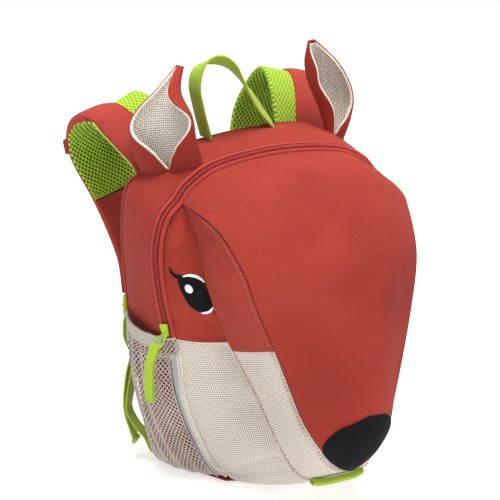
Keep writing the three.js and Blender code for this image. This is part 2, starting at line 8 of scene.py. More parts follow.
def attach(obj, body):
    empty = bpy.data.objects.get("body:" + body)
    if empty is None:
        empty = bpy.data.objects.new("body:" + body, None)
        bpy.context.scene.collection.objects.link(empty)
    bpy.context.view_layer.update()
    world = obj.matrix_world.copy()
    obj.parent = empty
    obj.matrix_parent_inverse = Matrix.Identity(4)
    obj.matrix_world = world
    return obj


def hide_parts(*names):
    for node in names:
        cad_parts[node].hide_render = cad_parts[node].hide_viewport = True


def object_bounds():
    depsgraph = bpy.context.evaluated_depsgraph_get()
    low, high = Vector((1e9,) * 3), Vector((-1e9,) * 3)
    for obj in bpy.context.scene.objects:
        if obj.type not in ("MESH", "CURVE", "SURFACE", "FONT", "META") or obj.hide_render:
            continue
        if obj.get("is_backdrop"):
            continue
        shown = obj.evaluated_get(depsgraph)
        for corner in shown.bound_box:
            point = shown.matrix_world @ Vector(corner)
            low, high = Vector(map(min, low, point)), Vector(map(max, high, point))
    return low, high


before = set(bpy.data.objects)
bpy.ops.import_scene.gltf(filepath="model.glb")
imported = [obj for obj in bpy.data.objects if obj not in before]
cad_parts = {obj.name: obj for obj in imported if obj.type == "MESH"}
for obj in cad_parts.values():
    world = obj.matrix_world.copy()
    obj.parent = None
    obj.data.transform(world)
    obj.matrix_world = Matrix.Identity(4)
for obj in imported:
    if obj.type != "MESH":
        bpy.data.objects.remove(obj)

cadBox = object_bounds()
bpy.ops.object.select_all(action="DESELECT")
mm = 0.001
detail = 1.0
bothSides = (("left", False), ("right", True))  # the right side mirrors the left
print("frame loaded:", len(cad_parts), "nodes")

# camera and light of a plain studio
studio = {"azimuth": -30, "elevation": 17.25, "distance": 1.6, "aim": (-0.029, 0, 0.212), "lens": 132.48,
          "clipEnd": 50, "floor": (0.86, 0.86, 0.86, 1), "floorSize": 60, "floorRough": 0.9, "floorGlow": 0.55,
          "white": (1, 1, 1, 1), "world": 0.22, "lampAim": (0, 0, 0.15),
          "lamps": [("keyLight", (-1.3, -1.9, 1.7), 1.3, 11), ("fillLight", (1.8, -1.2, 1.0), 1.6, 1.5),
                    ("topLight", (-0.1, -0.2, 2.3), 1.4, 80)]}  # name, place, size, power


def setStudio():
    turn, tilt = math.radians(studio["azimuth"]), math.radians(studio["elevation"])
    away = Vector((math.sin(turn) * math.cos(tilt), -math.cos(turn) * math.cos(tilt), math.sin(tilt)))
    bpy.ops.object.camera_add(location=Vector(studio["aim"]) + away * studio["distance"])
    camera = bpy.context.object
    camera.rotation_euler = away.to_track_quat("Z", "Y").to_euler()
    camera.data.lens, camera.data.clip_end = studio["lens"], studio["clipEnd"]
    bpy.context.scene.camera = camera
    for name, place, size, power in studio["lamps"]:
        bpy.ops.object.light_add(type="AREA", location=place)
        lamp = bpy.context.object
        lamp.name = name
        lamp.data.size, lamp.data.energy = size, power
        lamp.rotation_euler = (Vector(place) - Vector(studio["lampAim"])).to_track_quat("Z", "Y").to_euler()
    world = bpy.data.worlds.new("studioWorld")
    world.use_nodes = True
    world.node_tree.nodes["Background"].inputs["Color"].default_value = studio["white"]
    world.node_tree.nodes["Background"].inputs["Strength"].default_value = studio["world"]
    bpy.context.scene.world = world
    bpy.context.scene.view_settings.view_transform = "Standard"
    bpy.ops.mesh.primitive_plane_add(size=studio["floorSize"])
    floor = bpy.context.object
    floor.name = "floor"
    paint = bpy.data.materials.new("floorPaint")
    paint.use_nodes = True
    shader = paint.node_tree.nodes["Principled BSDF"]
    shader.inputs["Base Color"].default_value = studio["floor"]
    shader.inputs["Roughness"].default_value = studio["floorRough"]
    shader.inputs["Emission Color"].default_value = studio["white"]
    shader.inputs["Emission Strength"].default_value = studio["floorGlow"]
    floor.data.materials.append(paint)
    floor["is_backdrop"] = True


setStudio()
print("camera, light and floor set")


# shader helpers
def linear(r, g, b):  # screen colour to the shader's scale
    return tuple(((c / 255 + 0.055) / 1.055) ** 2.4 for c in (r, g, b)) + (1.0,)


def plug(tree, socket, value):
    if isinstance(value, bpy.types.NodeSocket):
        tree.links.new(value, socket)
    else:
        socket.default_value = value


def addNode(tree, kind, inputs=None, **settings):
    made = tree.nodes.new(kind)
    for key, value in settings.items():
        setattr(made, key, value)
    for key, value in (inputs or {}).items():
        plug(tree, made.inputs[key], value)
    return made


def mathIn(tree):  # short way to add Math nodes to a tree
    def calc(operation, *values):
        return addNode(tree, "ShaderNodeMath", dict(enumerate(values)), operation=operation).outputs[0]
    return calc


def sine(calc, turns):
    return calc("SINE", calc("MULTIPLY", turns, 2 * math.pi))


def startGroup(name, vector, number, outputs):  # a node group that takes a vector and a number
    tree = bpy.data.node_groups.new(name, "ShaderNodeTree")
    tree.interface.new_socket(vector, in_out="INPUT", socket_type="NodeSocketVector")
    tree.interface.new_socket(number, in_out="INPUT", socket_type="NodeSocketFloat")
    for label in outputs:
        tree.interface.new_socket(label, in_out="OUTPUT", socket_type="NodeSocketFloat")
    return tree, tree.nodes.new("NodeGroupInput").outputs, tree.nodes.new("NodeGroupOutput").inputs


def startWeave(name, output):  # a weave reads a cut of cloth, its two directions counted in pitches
    tree, given, out = startGroup(name, "Cut", "Pitch", [output])
    parts = addNode(tree, "ShaderNodeSeparateXYZ", {0: given["Cut"]}).outputs
    calc = mathIn(tree)
    x, y = (calc("DIVIDE", parts[i], given["Pitch"]) for i in (0, 1))
    return tree, calc, x, y, out[output]


weave = {"ribSlope": (0.56, -0.83), "ribStep": (0.55, 0.6), "stagger": 0.37, "rib": 0.36, "thread": 0.14,
         "weftHeight": 0.72, "chevron": 1.6, "slant": 0.8, "ridge": 0.34, "row": 0.2, "stretch": 0.72,
         "hole": (0.14, 0.36), "level": 0.5}


def twillGroup():  # fine diagonal ribs, each broken into threads
    tree, calc, x, y, out = startWeave("twillRibs", "Height")
    slope, step = (calc("ADD", calc("MULTIPLY", x, a), calc("MULTIPLY", y, b))
                   for a, b in (weave["ribSlope"], weave["ribStep"]))
    step = calc("MULTIPLY_ADD", calc("FLOOR", slope), weave["stagger"], step)
    rib = calc("MULTIPLY_ADD", sine(calc, slope), weave["rib"], weave["level"])
    plug(tree, out, calc("MULTIPLY_ADD", sine(calc, step), weave["thread"], rib))
    return tree


def basketGroup():  # thick threads that go over and under each other
    tree, calc, x, y, out = startWeave("basketWeave", "Height")
    cells = calc("ADD", calc("FLOOR", x), calc("FLOOR", y))
    over = calc("MULTIPLY", calc("FRACT", calc("MULTIPLY", cells, 0.5)), 2.0)
    crowns = [calc("SINE", calc("MULTIPLY", calc("FRACT", place), math.pi)) for place in (x, y)]
    warp, weft = (calc("MULTIPLY", a, calc("MULTIPLY_ADD", b, 0.5, 0.5)) for a, b in (crowns, crowns[::-1]))
    weft = calc("MULTIPLY", weft, weave["weftHeight"])
    plug(tree, out, calc("ADD", weft, calc("MULTIPLY", calc("SUBTRACT", warp, weft), over)))
    return tree


def webbingGroup():  # slanted ribs that turn at each chevron
    tree, calc, x, y, out = startWeave("webbingRibs", "Height")
    zig = calc("MULTIPLY", calc("PINGPONG", y, weave["chevron"]), weave["slant"])
    rib = calc("MULTIPLY_ADD", sine(calc, calc("ADD", x, zig)), weave["ridge"], weave["level"])
    row = calc("ABSOLUTE", calc("SINE", calc("MULTIPLY", y, math.pi / weave["chevron"])))
    plug(tree, out, calc("MULTIPLY_ADD", row, weave["row"], rib))
    return tree


def spacerGroup():  # staggered holes of a spacer mesh
    tree, calc, x, y, out = startWeave("spacerHoles", "Hole")
    x = calc("MULTIPLY", x, weave["stretch"])
    far = []
    for shift in (0.0, 0.5):
        steps = [calc("SUBTRACT", calc("FRACT", calc("ADD", place, shift)), 0.5) for place in (x, y)]
        far.append(calc("SQRT", calc("ADD", *(calc("POWER", step, 2.0) for step in steps))))
    small, large = weave["hole"]
    mask = addNode(tree, "ShaderNodeMapRange", {"Value": calc("MINIMUM", *far), "From Min": small, "From Max": large,
                                                "To Min": 1.0, "To Max": 0.0}, interpolation_type="SMOOTHSTEP")
    plug(tree, out, mask.outputs[0])
    return tree


def toneGroup():  # slow and fine changes of tone over the whole bag
    tree, given, out = startGroup("clothTone", "Place", "Size", ["Slow", "Fine"])
    for label, scale in (("Slow", given["Size"]), ("Fine", cloth["fineSize"])):
        noise = addNode(tree, "ShaderNodeTexNoise", {"Vector": given["Place"], "Scale": scale, "Detail": 2.0})
        plug(tree, out[label], noise.outputs[0])
    return tree


cloth = {"fineSize": 900.0, "tone": 0.75, "fineShare": 0.3, "weaveLevel": 0.6, "bump": 0.0008, "roughSwing": 0.16,
         "sheenRough": 0.5}
weaves = {"twill": twillGroup(), "basket": basketGroup(), "webbing": webbingGroup(), "spacer": spacerGroup()}
tones = toneGroup()


def clothMaterial(name, light, dark, woven=None, pitch=1.9, share=0.45, depth=0.35, rough=0.85, sheen=0.15, slow=9.0,
                  slowShare=0.5, shine=0.25):
    made = bpy.data.materials.new(name)
    made.use_nodes = True
    tree = made.node_tree
    calc = mathIn(tree)
    shader = tree.nodes["Principled BSDF"].inputs
    place = addNode(tree, "ShaderNodeTexCoord").outputs["Object"]
    tone = addNode(tree, "ShaderNodeGroup", node_tree=tones)
    plug(tree, tone.inputs["Place"], place)
    tone.inputs["Size"].default_value = slow
    height = fine = tone.outputs["Fine"]
    amount = calc("MULTIPLY_ADD", calc("SUBTRACT", tone.outputs["Slow"], 0.5), slowShare * 2, cloth["tone"])
    amount = calc("MULTIPLY_ADD", calc("SUBTRACT", fine, 0.5), cloth["fineShare"], amount)
    if woven:
        group = addNode(tree, "ShaderNodeGroup", node_tree=weaves[woven])
        plug(tree, group.inputs["Cut"], addNode(tree, "ShaderNodeAttribute", attribute_name="cut").outputs["Vector"])
        group.inputs["Pitch"].default_value = pitch
        height = group.outputs[0]
        if woven == "spacer":
            height = calc("SUBTRACT", 1.0, height)
        amount = calc("MULTIPLY_ADD", calc("SUBTRACT", height, cloth["weaveLevel"]), share, amount)
    amount = calc("MINIMUM", calc("MAXIMUM", amount, 0.0), 1.0)
    colour = addNode(tree, "ShaderNodeMix", {0: amount, 6: dark, 7: light}, data_type="RGBA")
    plug(tree, shader["Base Color"], colour.outputs[2])
    bump = addNode(tree, "ShaderNodeBump", {"Strength": depth, "Distance": cloth["bump"], "Height": height})
    plug(tree, shader["Normal"], bump.outputs[0])
    swing = cloth["roughSwing"]
    plug(tree, shader["Roughness"], calc("MULTIPLY_ADD", fine, swing, rough - swing / 2))
    shader["Sheen Weight"].default_value = sheen
    shader["Sheen Roughness"].default_value = cloth["sheenRough"]
    shader["Specular IOR Level"].default_value = shine
    return made


# each finish: material, slot name, light and dark tone, weave with its pitch, share and depth, and the rest
finishRows = {
    "red": ("redTwill", "red_cloth", (165, 59, 47), (97, 17, 16), ("twill", 2.4, 0.42),
            {"sheen": 0.03, "shine": 0.15}),
    "strapRed": ("strapTwill", "red_cloth", (167, 60, 48), (116, 32, 29), ("twill", 1.4, 0.2, 0.2), {"sheen": 0.05}),
    "zipRed": ("zipTape", "red_zip", (178, 62, 52), (122, 34, 33), ("twill", 1.3, 0.3), {"sheen": 0.0}),
    # the channel's tape: the zip tape darkened with painted shade of the recess between the folds
    "zipShadedTape": ("shadedZipChannel", "red_zip", (138, 42, 39), (100, 26, 26), ("twill", 1.3, 0.3), {"sheen": 0.0}),
    "coil": ("zipCoil", "red_zip", (192, 80, 70), (152, 54, 48), (), {"rough": 0.4, "sheen": 0.0}),
    "cream": ("creamBasket", "cream_cloth", (238, 229, 218), (122, 108, 94), ("basket", 2.0, 1.2, 0.6),
              {"slowShare": 0.2}),
    "creamPlain": ("creamEdge", "cream_cloth", (230, 221, 209), (198, 187, 172), ("twill", 1.2, 0.2), {}),
    "lime": ("limeWebbing", "lime_webbing", (170, 200, 50), (98, 128, 20), ("webbing", 1.7, 0.6, 0.6),
             {"slowShare": 0.2}),
    "limeMesh": ("limeSpacer", "lime_mesh", (158, 194, 48), (44, 66, 8), ("spacer", 4.0, 1.1, 0.7),
                 {"slowShare": 0.2}),
    "limeStrip": ("limeStrip", "lime_mesh", (166, 200, 56), (104, 140, 26), ("spacer", 4.0, 0.9, 0.6),
                  {"slowShare": 0.2}),
    "limePlastic": ("limePlastic", "lime_plastic", (162, 198, 40), (124, 160, 26), (),
                    {"depth": 0.08, "rough": 0.4, "sheen": 0.0}),
    "black": ("blackFelt", "black_cloth", (20, 20, 24), (9, 9, 12), ("twill", 1.1, 0.3, 0.35),
              {"sheen": 0.0, "shine": 0.12}),
    "white": ("whiteThread", "cream_cloth", (248, 246, 246), (222, 218, 220), ("twill", 0.9, 0.3), {}),
    "grey": ("greyTape", "grey_piping", (160, 164, 168), (134, 138, 142), (),
             {"rough": 0.5, "sheen": 0.0, "depth": 0.1}),
    "net": ("netYarn", "net", (206, 198, 188), (150, 142, 133), (), {"sheen": 0.1, "slow": 40}),
    "hem": ("netHem", "net", (206, 198, 188), (126, 117, 109), ("basket", 2.2, 1.0, 0.6), {}),
    "orangeThread": ("orangeThread", "red_cloth", (206, 112, 80), (166, 72, 52), (), {}),
    "redThread": ("redThread", "red_cloth", (178, 66, 54), (136, 42, 37), (), {"sheen": 0.0}),
    # seam cords: the red and cream cloth darkened with painted shade of the seam grooves
    "seam": ("seamShade", "red_cloth", (96, 22, 23), (70, 15, 16), (), {"sheen": 0.0}),
    "creamSeam": ("creamSeamShade", "cream_cloth", (188, 170, 146), (150, 130, 106), (), {}),
    "brownThread": ("brownThread", "cream_cloth", (176, 138, 116), (132, 92, 76), (), {}),
    "creamThread": ("creamThread", "cream_cloth", (244, 236, 220), (206, 194, 172), (), {}),
    "limeThread": ("limeThread", "lime_webbing", (194, 216, 100), (148, 176, 54), (), {}),
    "blackThread": ("blackThread", "black_cloth", (40, 40, 47), (24, 24, 29), (), {"sheen": 0.0}),
}
finishes = {}
for finishName, (title, slotName, light, dark, woven, more) in finishRows.items():
    finishes[finishName] = clothMaterial(title, linear(*light), linear(*dark), *woven, **more), slotName
print("finishes mixed:", len(finishes))

# main lines of the bag, in mm: x across, -y the snout, z up
bag = {"wallFront": 7, "wallBack": 62, "wallBulge": 2, "rimInset": 6, "rimFront": -3, "panelPuff": 4,
       "gussetPuff": 2, "border": 5, "tip": 0.03, "faceEnd": 9.8, "wallEnd": 8.4}
rimRows = [(101, 0, 268), (113, 0, 256), (120, 0, 238), (122, 0, 214), (118, 0, 180), (110, 0, 143),
           (101, 0, 96), (88, 0, 55), (66, 0, 11), (44, -9, 1), (0, -20, 1)]
backRows = [(106.5, 275), (116, 267), (120.5, 250), (122, 220), (119.5, 180), (116, 143), (109.5, 96), (102.5, 55),
            (91.5, 11), (66, 1), (0, 1)]  # half-width and height at the back
seamRows = [(93, -9, 250), (90, -16, 234), (88, -23, 209), (81, -27, 178), (69, -31, 144), (54, -47, 105),
            (46, -66, 71), (39, -87, 43), (29, -100, 34), (0, -106, 37)]
edgeRows = [(96, -46, 259), (91, -67, 247), (84.5, -88, 222), (79, -96, 197), (67, -105, 161),
            (56.5, -111, 129), (46, -116, 98), (36, -123, 77), (20, -123, 57), (0, -120, 46)]
midRows = [(-50, 289), (-82, 270), (-108, 238), (-121, 201), (-128, 161), (-131, 127), (-134, 98), (-136, 77),
           (-131, 57), (-121, 45)]
topArc = [(89, 281, 290), (60, 295, 303), (0, 301, 304), (-60, 295, 297), (-89, 281, 286)]  # x, z in front, z behind
chin = len(rimRows) - 1
topRight = 2 * chin
topMiddle = topRight + 3
loop = topRight + 1 + len(topArc)


def smooth(low, high, x):
    t = np.clip((np.asarray(x, float) - low) / (high - low), 0, 1)
    return t * t * (3 - 2 * t)


def unit(v):
    return v / np.maximum(np.linalg.norm(v, axis=-1, keepdims=True), 1e-9)


def mixed(a, b, t):
    return a + (b - a) * np.asarray(t, float)[..., None]


def curveAt(points, k, closed=False):  # smooth curve through the points, counted from 0
    points, k = np.asarray(points, float), np.asarray(k, float)
    count = len(points)
    if closed:
        i = np.floor(k).astype(int)
        near = [points[(i + step) % count] for step in (-1, 0, 1, 2)]
    else:
        longer = np.vstack([2 * points[0] - points[1], points, 2 * points[-1] - points[-2]])
        k = np.clip(k, 0, count - 1)
        i = np.minimum(np.floor(k).astype(int), count - 2)
        near = [longer[i + step] for step in range(4)]
    w = (k - i)[..., None]
    into, out = (near[2] - near[0]) / 2, (near[3] - near[1]) / 2
    return ((2 * near[1] - 2 * near[2] + into + out) * w**3
            + (3 * near[2] - 3 * near[1] - 2 * into - out) * w**2 + into * w + near[1])


def columnAt(values, k):  # smooth curve through single values
    return curveAt(np.reshape(values, (-1, 1)), k)[..., 0]


def rowAt(rows, t):  # straight steps between rows that start with their place
    rows = np.array(rows, float)
    return np.stack([np.interp(t, rows[:, 0], column) for column in rows[:, 1:].T], -1)


def bothHalves(rows):
    left = np.array(rows, float) * [-1, 1, 1]
    return np.vstack([left, left[:chin][::-1] * [-1, 1, 1]])


rimPoints = np.vstack([bothHalves(rimRows), [(x, 0, z) for x, z, _ in topArc]])
backPoints = np.vstack([bothHalves([(half, bag["wallBack"], z) for half, z in backRows]),
                        [(x, bag["wallBack"], z) for x, _, z in topArc]])


def rimAt(k):
    return curveAt(rimPoints, k, True)


def backAt(k):
    return curveAt(backPoints, k, True)


def inwardAt(k):
    along = rimAt(k + 0.01) - rimAt(k - 0.01)
    return unit(np.stack([-along[..., 2], 0 * along[..., 0], along[..., 0]], -1))


def frontRimAt(k):  # inside the rim, but on the rim itself along the bottom
    k = np.asarray(k, float)
    lifted = smooth(1.1, 1.8, np.abs(np.mod(k, loop) - chin))[..., None]
    return rimAt(k) + inwardAt(k) * bag["rimInset"] * lifted + [0, bag["rimFront"], 0] * lifted


corner = tuple(frontRimAt(0.0) * [-1, 1, 1])
seamPoints = bothHalves([corner] + seamRows)
edgePoints = bothHalves([corner] + edgeRows)
midPoints = np.vstack([frontRimAt(topMiddle), [(0, y, z) for y, z in midRows]])


def seamAt(k):
    return curveAt(seamPoints, k)


def edgeAt(k):
    return curveAt(edgePoints, k)


def strip(start, stop, puff):
    def surface(k, v):
        a, b = start(k), stop(k)
        along = stop(k + 0.01) + start(k + 0.01) - stop(k - 0.01) - start(k - 0.01)
        room = np.minimum(1, np.linalg.norm(b - a, axis=-1) / 30)  # narrow ends stay flat
        return mixed(a, b, v) + unit(np.cross(along, b - a)) * (puff * room * 4 * v * (1 - v))[..., None]
    return surface


basePanel = strip(frontRimAt, seamAt, bag["panelPuff"])
snoutStrip = strip(seamAt, edgeAt, bag["gussetPuff"])


def wallEdge(k):
    return rimAt(k) * [1, 0, 1] + [0, bag["wallFront"], 0]


def wallSurface(k, v):  # v is 0 at the back and 1 at the zip
    bulge = bag["wallBulge"] * np.sin(math.pi * v)
    return mixed(backAt(k), wallEdge(k), v) - inwardAt(k) * bulge[..., None]


def rimStrip(bow):
    def surface(k, v):
        outward = unit(np.array([0, -1, 0]) - inwardAt(k))
        return mixed(wallEdge(k), frontRimAt(k), v) + outward * (bow * 4 * v * (1 - v))[..., None]
    return surface


def faceSurface(level, k):
    top = frontRimAt(k)
    share = top[..., 0] / edgeAt(0.0)[0]

    def crown(row):
        edge, mid = edgeAt(row), curveAt(midPoints, row)
        power = 3.4 - 1.2 * smooth(0, 3, row)  # flatter over the forehead
        crowned = mixed(edge, mid, 1 - np.minimum(1, np.abs(share)) ** power)
        crowned[..., 0] = edge[..., 0] * share
        return crowned
    fade = np.maximum(0, 1 - level / 1.5) ** 2
    return crown(level) + (top - crown(0 * level)) * fade[..., None]


def faceAt(level, share):  # share is -1 at the face's left edge and 1 at its right
    return faceSurface(level, topMiddle - 3 * share)


def roofZ(x, y):  # height of the wall's top at a place
    v = (bag["wallBack"] - y) / (bag["wallBack"] - bag["wallFront"])
    low, high = np.full_like(x, topRight - 2.0), np.full_like(x, loop + 2.0)
    for _ in range(30):
        k = (low + high) / 2
        right = wallSurface(k, v)[..., 0] > x
        low, high = np.where(right, k, low), np.where(right, high, k)
    return wallSurface(low, v)[..., 2]


# helpers for cloth
def spread(first, last, count, near=0.004):  # even steps, with two more close to each end
    inner = np.linspace(2.5 * near, 1 - 2.5 * near, max(6, int(count * detail)))
    return first + (last - first) * np.concatenate([[0, near], inner, [1 - near, 1]])


def normalsOf(p):
    return unit(np.cross(np.gradient(p, axis=0), np.gradient(p, axis=1)))


def walked(p, axis=0):  # length along a row of points
    steps = np.cumsum(np.linalg.norm(np.diff(p, axis=axis), axis=-1), axis=axis)
    return np.concatenate([0 * np.take(steps, [0], axis), steps], axis)


def spaced(places, run, *lines):  # what the lines hold at places along a run
    return [np.stack([np.interp(places, run, column) for column in line.T], -1) for line in lines]


def touch(surface, u, v):  # places and normals along a line on a surface
    u, v = np.broadcast_arrays(np.asarray(u, float), np.asarray(v, float))
    step = 1e-3
    n = np.cross(surface(u + step, v) - surface(u - step, v), surface(u, v + step) - surface(u, v - step))
    return surface(u, v), unit(n)


def above(surface, u, v, lift, facing=1):  # a line that lies a little above a surface, or under it
    p, n = touch(surface, u, v)
    return p + n * facing * np.broadcast_to(lift, n.shape[:-1])[..., None], n * facing


def ripple(p, seed, size, count=6):  # slow folds, alike in each run
    pick = np.random.RandomState(seed)
    total = np.zeros(p.shape[:-1])
    for _ in range(count):
        way = unit(pick.normal(size=3)) * 2 * math.pi / (size * pick.uniform(0.6, 1.6))
        total += np.sin(p @ way + pick.uniform(0, 6.28))
    return total / math.sqrt(count)


def dress(obj, finish, nodes=()):
    material, slot = finishes[finish]
    obj.data.materials.clear()
    obj.data.materials.append(material)
    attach(obj, "root")
    if nodes:
        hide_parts(*nodes)
    return obj


def addPiece(name, verts, faces, finish, nodes=(), cut=None, mirror=False, angle=45):
    verts = np.asarray(verts, float)
    faces = faces.tolist() if hasattr(faces, "tolist") else faces
    if mirror:
        verts, faces = verts * [-1, 1, 1], [face[::-1] for face in faces]
    mesh = bpy.data.meshes.new(name)
    mesh.from_pydata((verts * mm).tolist(), [], faces)
    if cut is not None:
        mesh.attributes.new("cut", "FLOAT_VECTOR", "POINT").data.foreach_set("vector", np.ravel(cut))
    mesh.polygons.foreach_set("use_smooth", [True] * len(mesh.polygons))
    mesh.set_sharp_from_angle(angle=math.radians(angle))
    obj = bpy.data.objects.new(name, mesh)
    bpy.context.scene.collection.objects.link(obj)
    return dress(obj, finish, nodes)


def gridFaces(index):
    return np.stack([index[:-1, :-1], index[1:, :-1], index[1:, 1:], index[:-1, 1:]], -1).reshape(-1, 4)


def closedRows(index):  # each row of corners comes back to its first
    return np.concatenate([index, index[:, :1]], 1)


def dome(rings, first=0):  # a pole with closed rings round it
    count = rings.shape[1]
    verts = np.concatenate([rings[0, :1], rings[1:].reshape(-1, 3)])
    index = closedRows(first + 1 + np.arange(len(verts) - 1).reshape(-1, count))
    fan = [[first, int(a), int(b)] for a, b in zip(index[0], index[0, 1:])]
    return verts, gridFaces(index).tolist() + fan, index[-1]


flatSizes = []


# a cut of cloth laid on a surface: thick inwards, with a rounded border
def clothPiece(name, surface, us, vs, thick, finish, nodes=(), rise=0.0, relief=None, under=None, roll=None,
               mirror=False, held="stretched", calm=8.0):
    u, v = np.meshgrid(us, vs, indexing="ij")
    p = surface(u, v)
    n = normalsOf(p)
    rows, columns = u.shape
    middle = columns // 2
    along, across = walked(p[:, middle]), walked(p, 1)
    edge = np.minimum(np.minimum(across, across[:, -1:] - across), np.minimum(along, along[-1] - along)[:, None])
    across = across - across[:, middle:middle + 1]
    along = np.broadcast_to(along[:, None], across.shape)
    roll = min(1.2, thick * 0.55) if roll is None else roll
    drop = roll * (1 - np.sqrt(1 - (1 - np.clip(edge / roll, 0, 1)) ** 2))
    top, bottom = rise - drop, np.full(drop.shape, rise - thick)
    if relief is not None:
        top = top + relief(along, across, p) * smooth(0, calm, edge)
    if under is not None:
        bottom = bottom + drop * 0.6 + under(along, across, p) * smooth(0, calm, edge)
    verts = np.concatenate([(p + n * side[..., None]).reshape(-1, 3) for side in (top, bottom)])
    low = rows * columns
    index = np.arange(low).reshape(rows, columns)
    border = np.concatenate([index[:, 0], index[-1, 1:], index[-2::-1, -1], index[0, -2:0:-1]])
    nextOne = np.roll(border, -1)
    rim = np.stack([border, border + low, nextOne + low, nextOne], -1)
    faces = np.concatenate([gridFaces(index), gridFaces(index + low)[:, ::-1], rim])
    cut = np.stack([along, across, 0 * along], -1).reshape(-1, 3)
    obj = addPiece(name, verts, faces, finish, nodes, np.concatenate([cut, cut]), mirror)
    if held:
        sides = np.cross(p[1:, 1:] - p[:-1, :-1], p[:-1, 1:] - p[1:, :-1])
        area = np.linalg.norm(sides, axis=-1).sum() / 2
        width, length = np.ptp(across), along.max()
        area = min(max(area, 0.301 * width * length), width * length)
        flatSizes.append(f"{name} {width:.0f} x {length:.0f} mm")
    return obj


def ringRound(centre, side, up, radius, sides, flat=1.0):
    turns = 2 * math.pi * np.arange(sides) / sides
    return [centre + (side * math.cos(t) + up * math.sin(t) * flat) * radius for t in turns]


def rodFaces(rods, rings, sides):  # each rod is a row of rings, closed at both ends
    index = closedRows(np.arange(rings * sides).reshape(rings, sides))
    one = gridFaces(index).tolist() + [index[0, :-1].tolist(), index[-1, :-1][::-1].tolist()]
    return [[c + first for c in face] for first in range(0, rods * rings * sides, rings * sides) for face in one]


# sewing thread: rows of short rounded stitches
sewing = {"pitch": 3.6, "length": 2.8, "thread": 0.36}
stitch = {"sides": 5, "rings": [(-0.5, 0.35, -0.5), (-0.26, 1.0, 0.35), (0.26, 1.0, 0.35), (0.5, 0.35, -0.5)]}


def stitchRow(p, n, pitch, length, thread):
    run = walked(p)
    places = np.arange(pitch / 2, run[-1], pitch)
    at, up = spaced(places, run, p, n)
    way = unit(spaced(places + 0.2, run, p)[0] - spaced(places - 0.2, run, p)[0])
    up = unit(up)
    side = np.cross(way, up)
    points = []
    for step, girth, lift in stitch["rings"]:
        centre = at + way * step * length + up * lift * thread
        points += ringRound(centre, side, up, thread * girth, stitch["sides"])
    return np.stack(points, 1).reshape(-1, 3)


def stitchPiece(name, rows, finish, mirror=False, **size):
    verts = np.concatenate([stitchRow(p, n, **{**sewing, **size}) for p, n in rows])
    rings, sides = len(stitch["rings"]), stitch["sides"]
    faces = rodFaces(len(verts) // (rings * sides), rings, sides)
    return addPiece(name, verts, faces, finish, mirror=mirror, angle=60)


# a round cord along a path, closed at both ends
def cordPiece(name, path, radius, finish, sides=8, up=(0.02, 0.03, 1.0), flat=1.0, mirror=False, angle=60, cut=None):
    way = unit(np.gradient(path, axis=0))
    side = unit(np.cross(way, np.broadcast_to(up, path.shape)))
    radius = np.broadcast_to(np.asarray(radius, float), (len(path),))[:, None]
    rings = ringRound(path, side, np.cross(side, way), radius, sides, flat)
    verts = np.stack(rings, 1).reshape(-1, 3)
    cut = None if cut is None else np.repeat(np.column_stack(cut), sides, axis=0)
    return addPiece(name, verts, rodFaces(1, len(path), sides), finish, cut=cut, mirror=mirror, angle=angle)


# body: wall, padded back, bottom
body = {"cloth": 2.0, "folds": 0.9, "foldSize": 95, "floorInset": 2.5, "floorFront": 0.4, "floorBack": 61.7}
wallStart, wallStop = 2 * chin - bag["wallEnd"], loop + bag["wallEnd"]


def buildBody():
    folds = lambda a, b, p: body["folds"] * ripple(p, 3, body["foldSize"])
    clothPiece("bodyWall", wallSurface, spread(wallStart, wallStop, 240, 0.0015), spread(0.017, 0.994, 26, 0.012),
               body["cloth"], "red", ["body_wall"], relief=folds)

    inset = lambda p: np.sign(p) * [body["floorInset"], 0, 0]
    front = lambda k: rimAt(k) * [1, 1, 0] - inset(rimAt(k)) + [0, body["floorFront"], 0]
    behind = lambda k: backAt(k) * [1, 0, 0] - inset(backAt(k)) + [0, body["floorBack"], 0]
    clothPiece("bottomPanel", lambda k, v: mixed(behind(k), front(k), v), spread(bag["wallEnd"], wallStart, 40, 0.01),
               spread(0, 1, 20, 0.01), body["cloth"], "red", ["bottom_panel"], roll=0.6)


back = {"pad": 6.0, "swell": 4.0, "clear": 0.3, "middle": (0, 0, 150), "rings": 56,
        "border": (0.965, 0.985, 0.996, 1.0), "padX": (12, 18, 62, 70), "padZ": (52, 60, 222, 232), "quilt": 44,
        "valley": 0.35, "edgeDrop": 2.4, "edgeWidth": 5, "sunk": 0.8, "stitchX": (10, 72), "stitchZ": (46, 238),
        "stitchLift": 5.3}


def within(x, start, full, last, stop):
    return smooth(start, full, x) * (1 - smooth(last, stop, x))


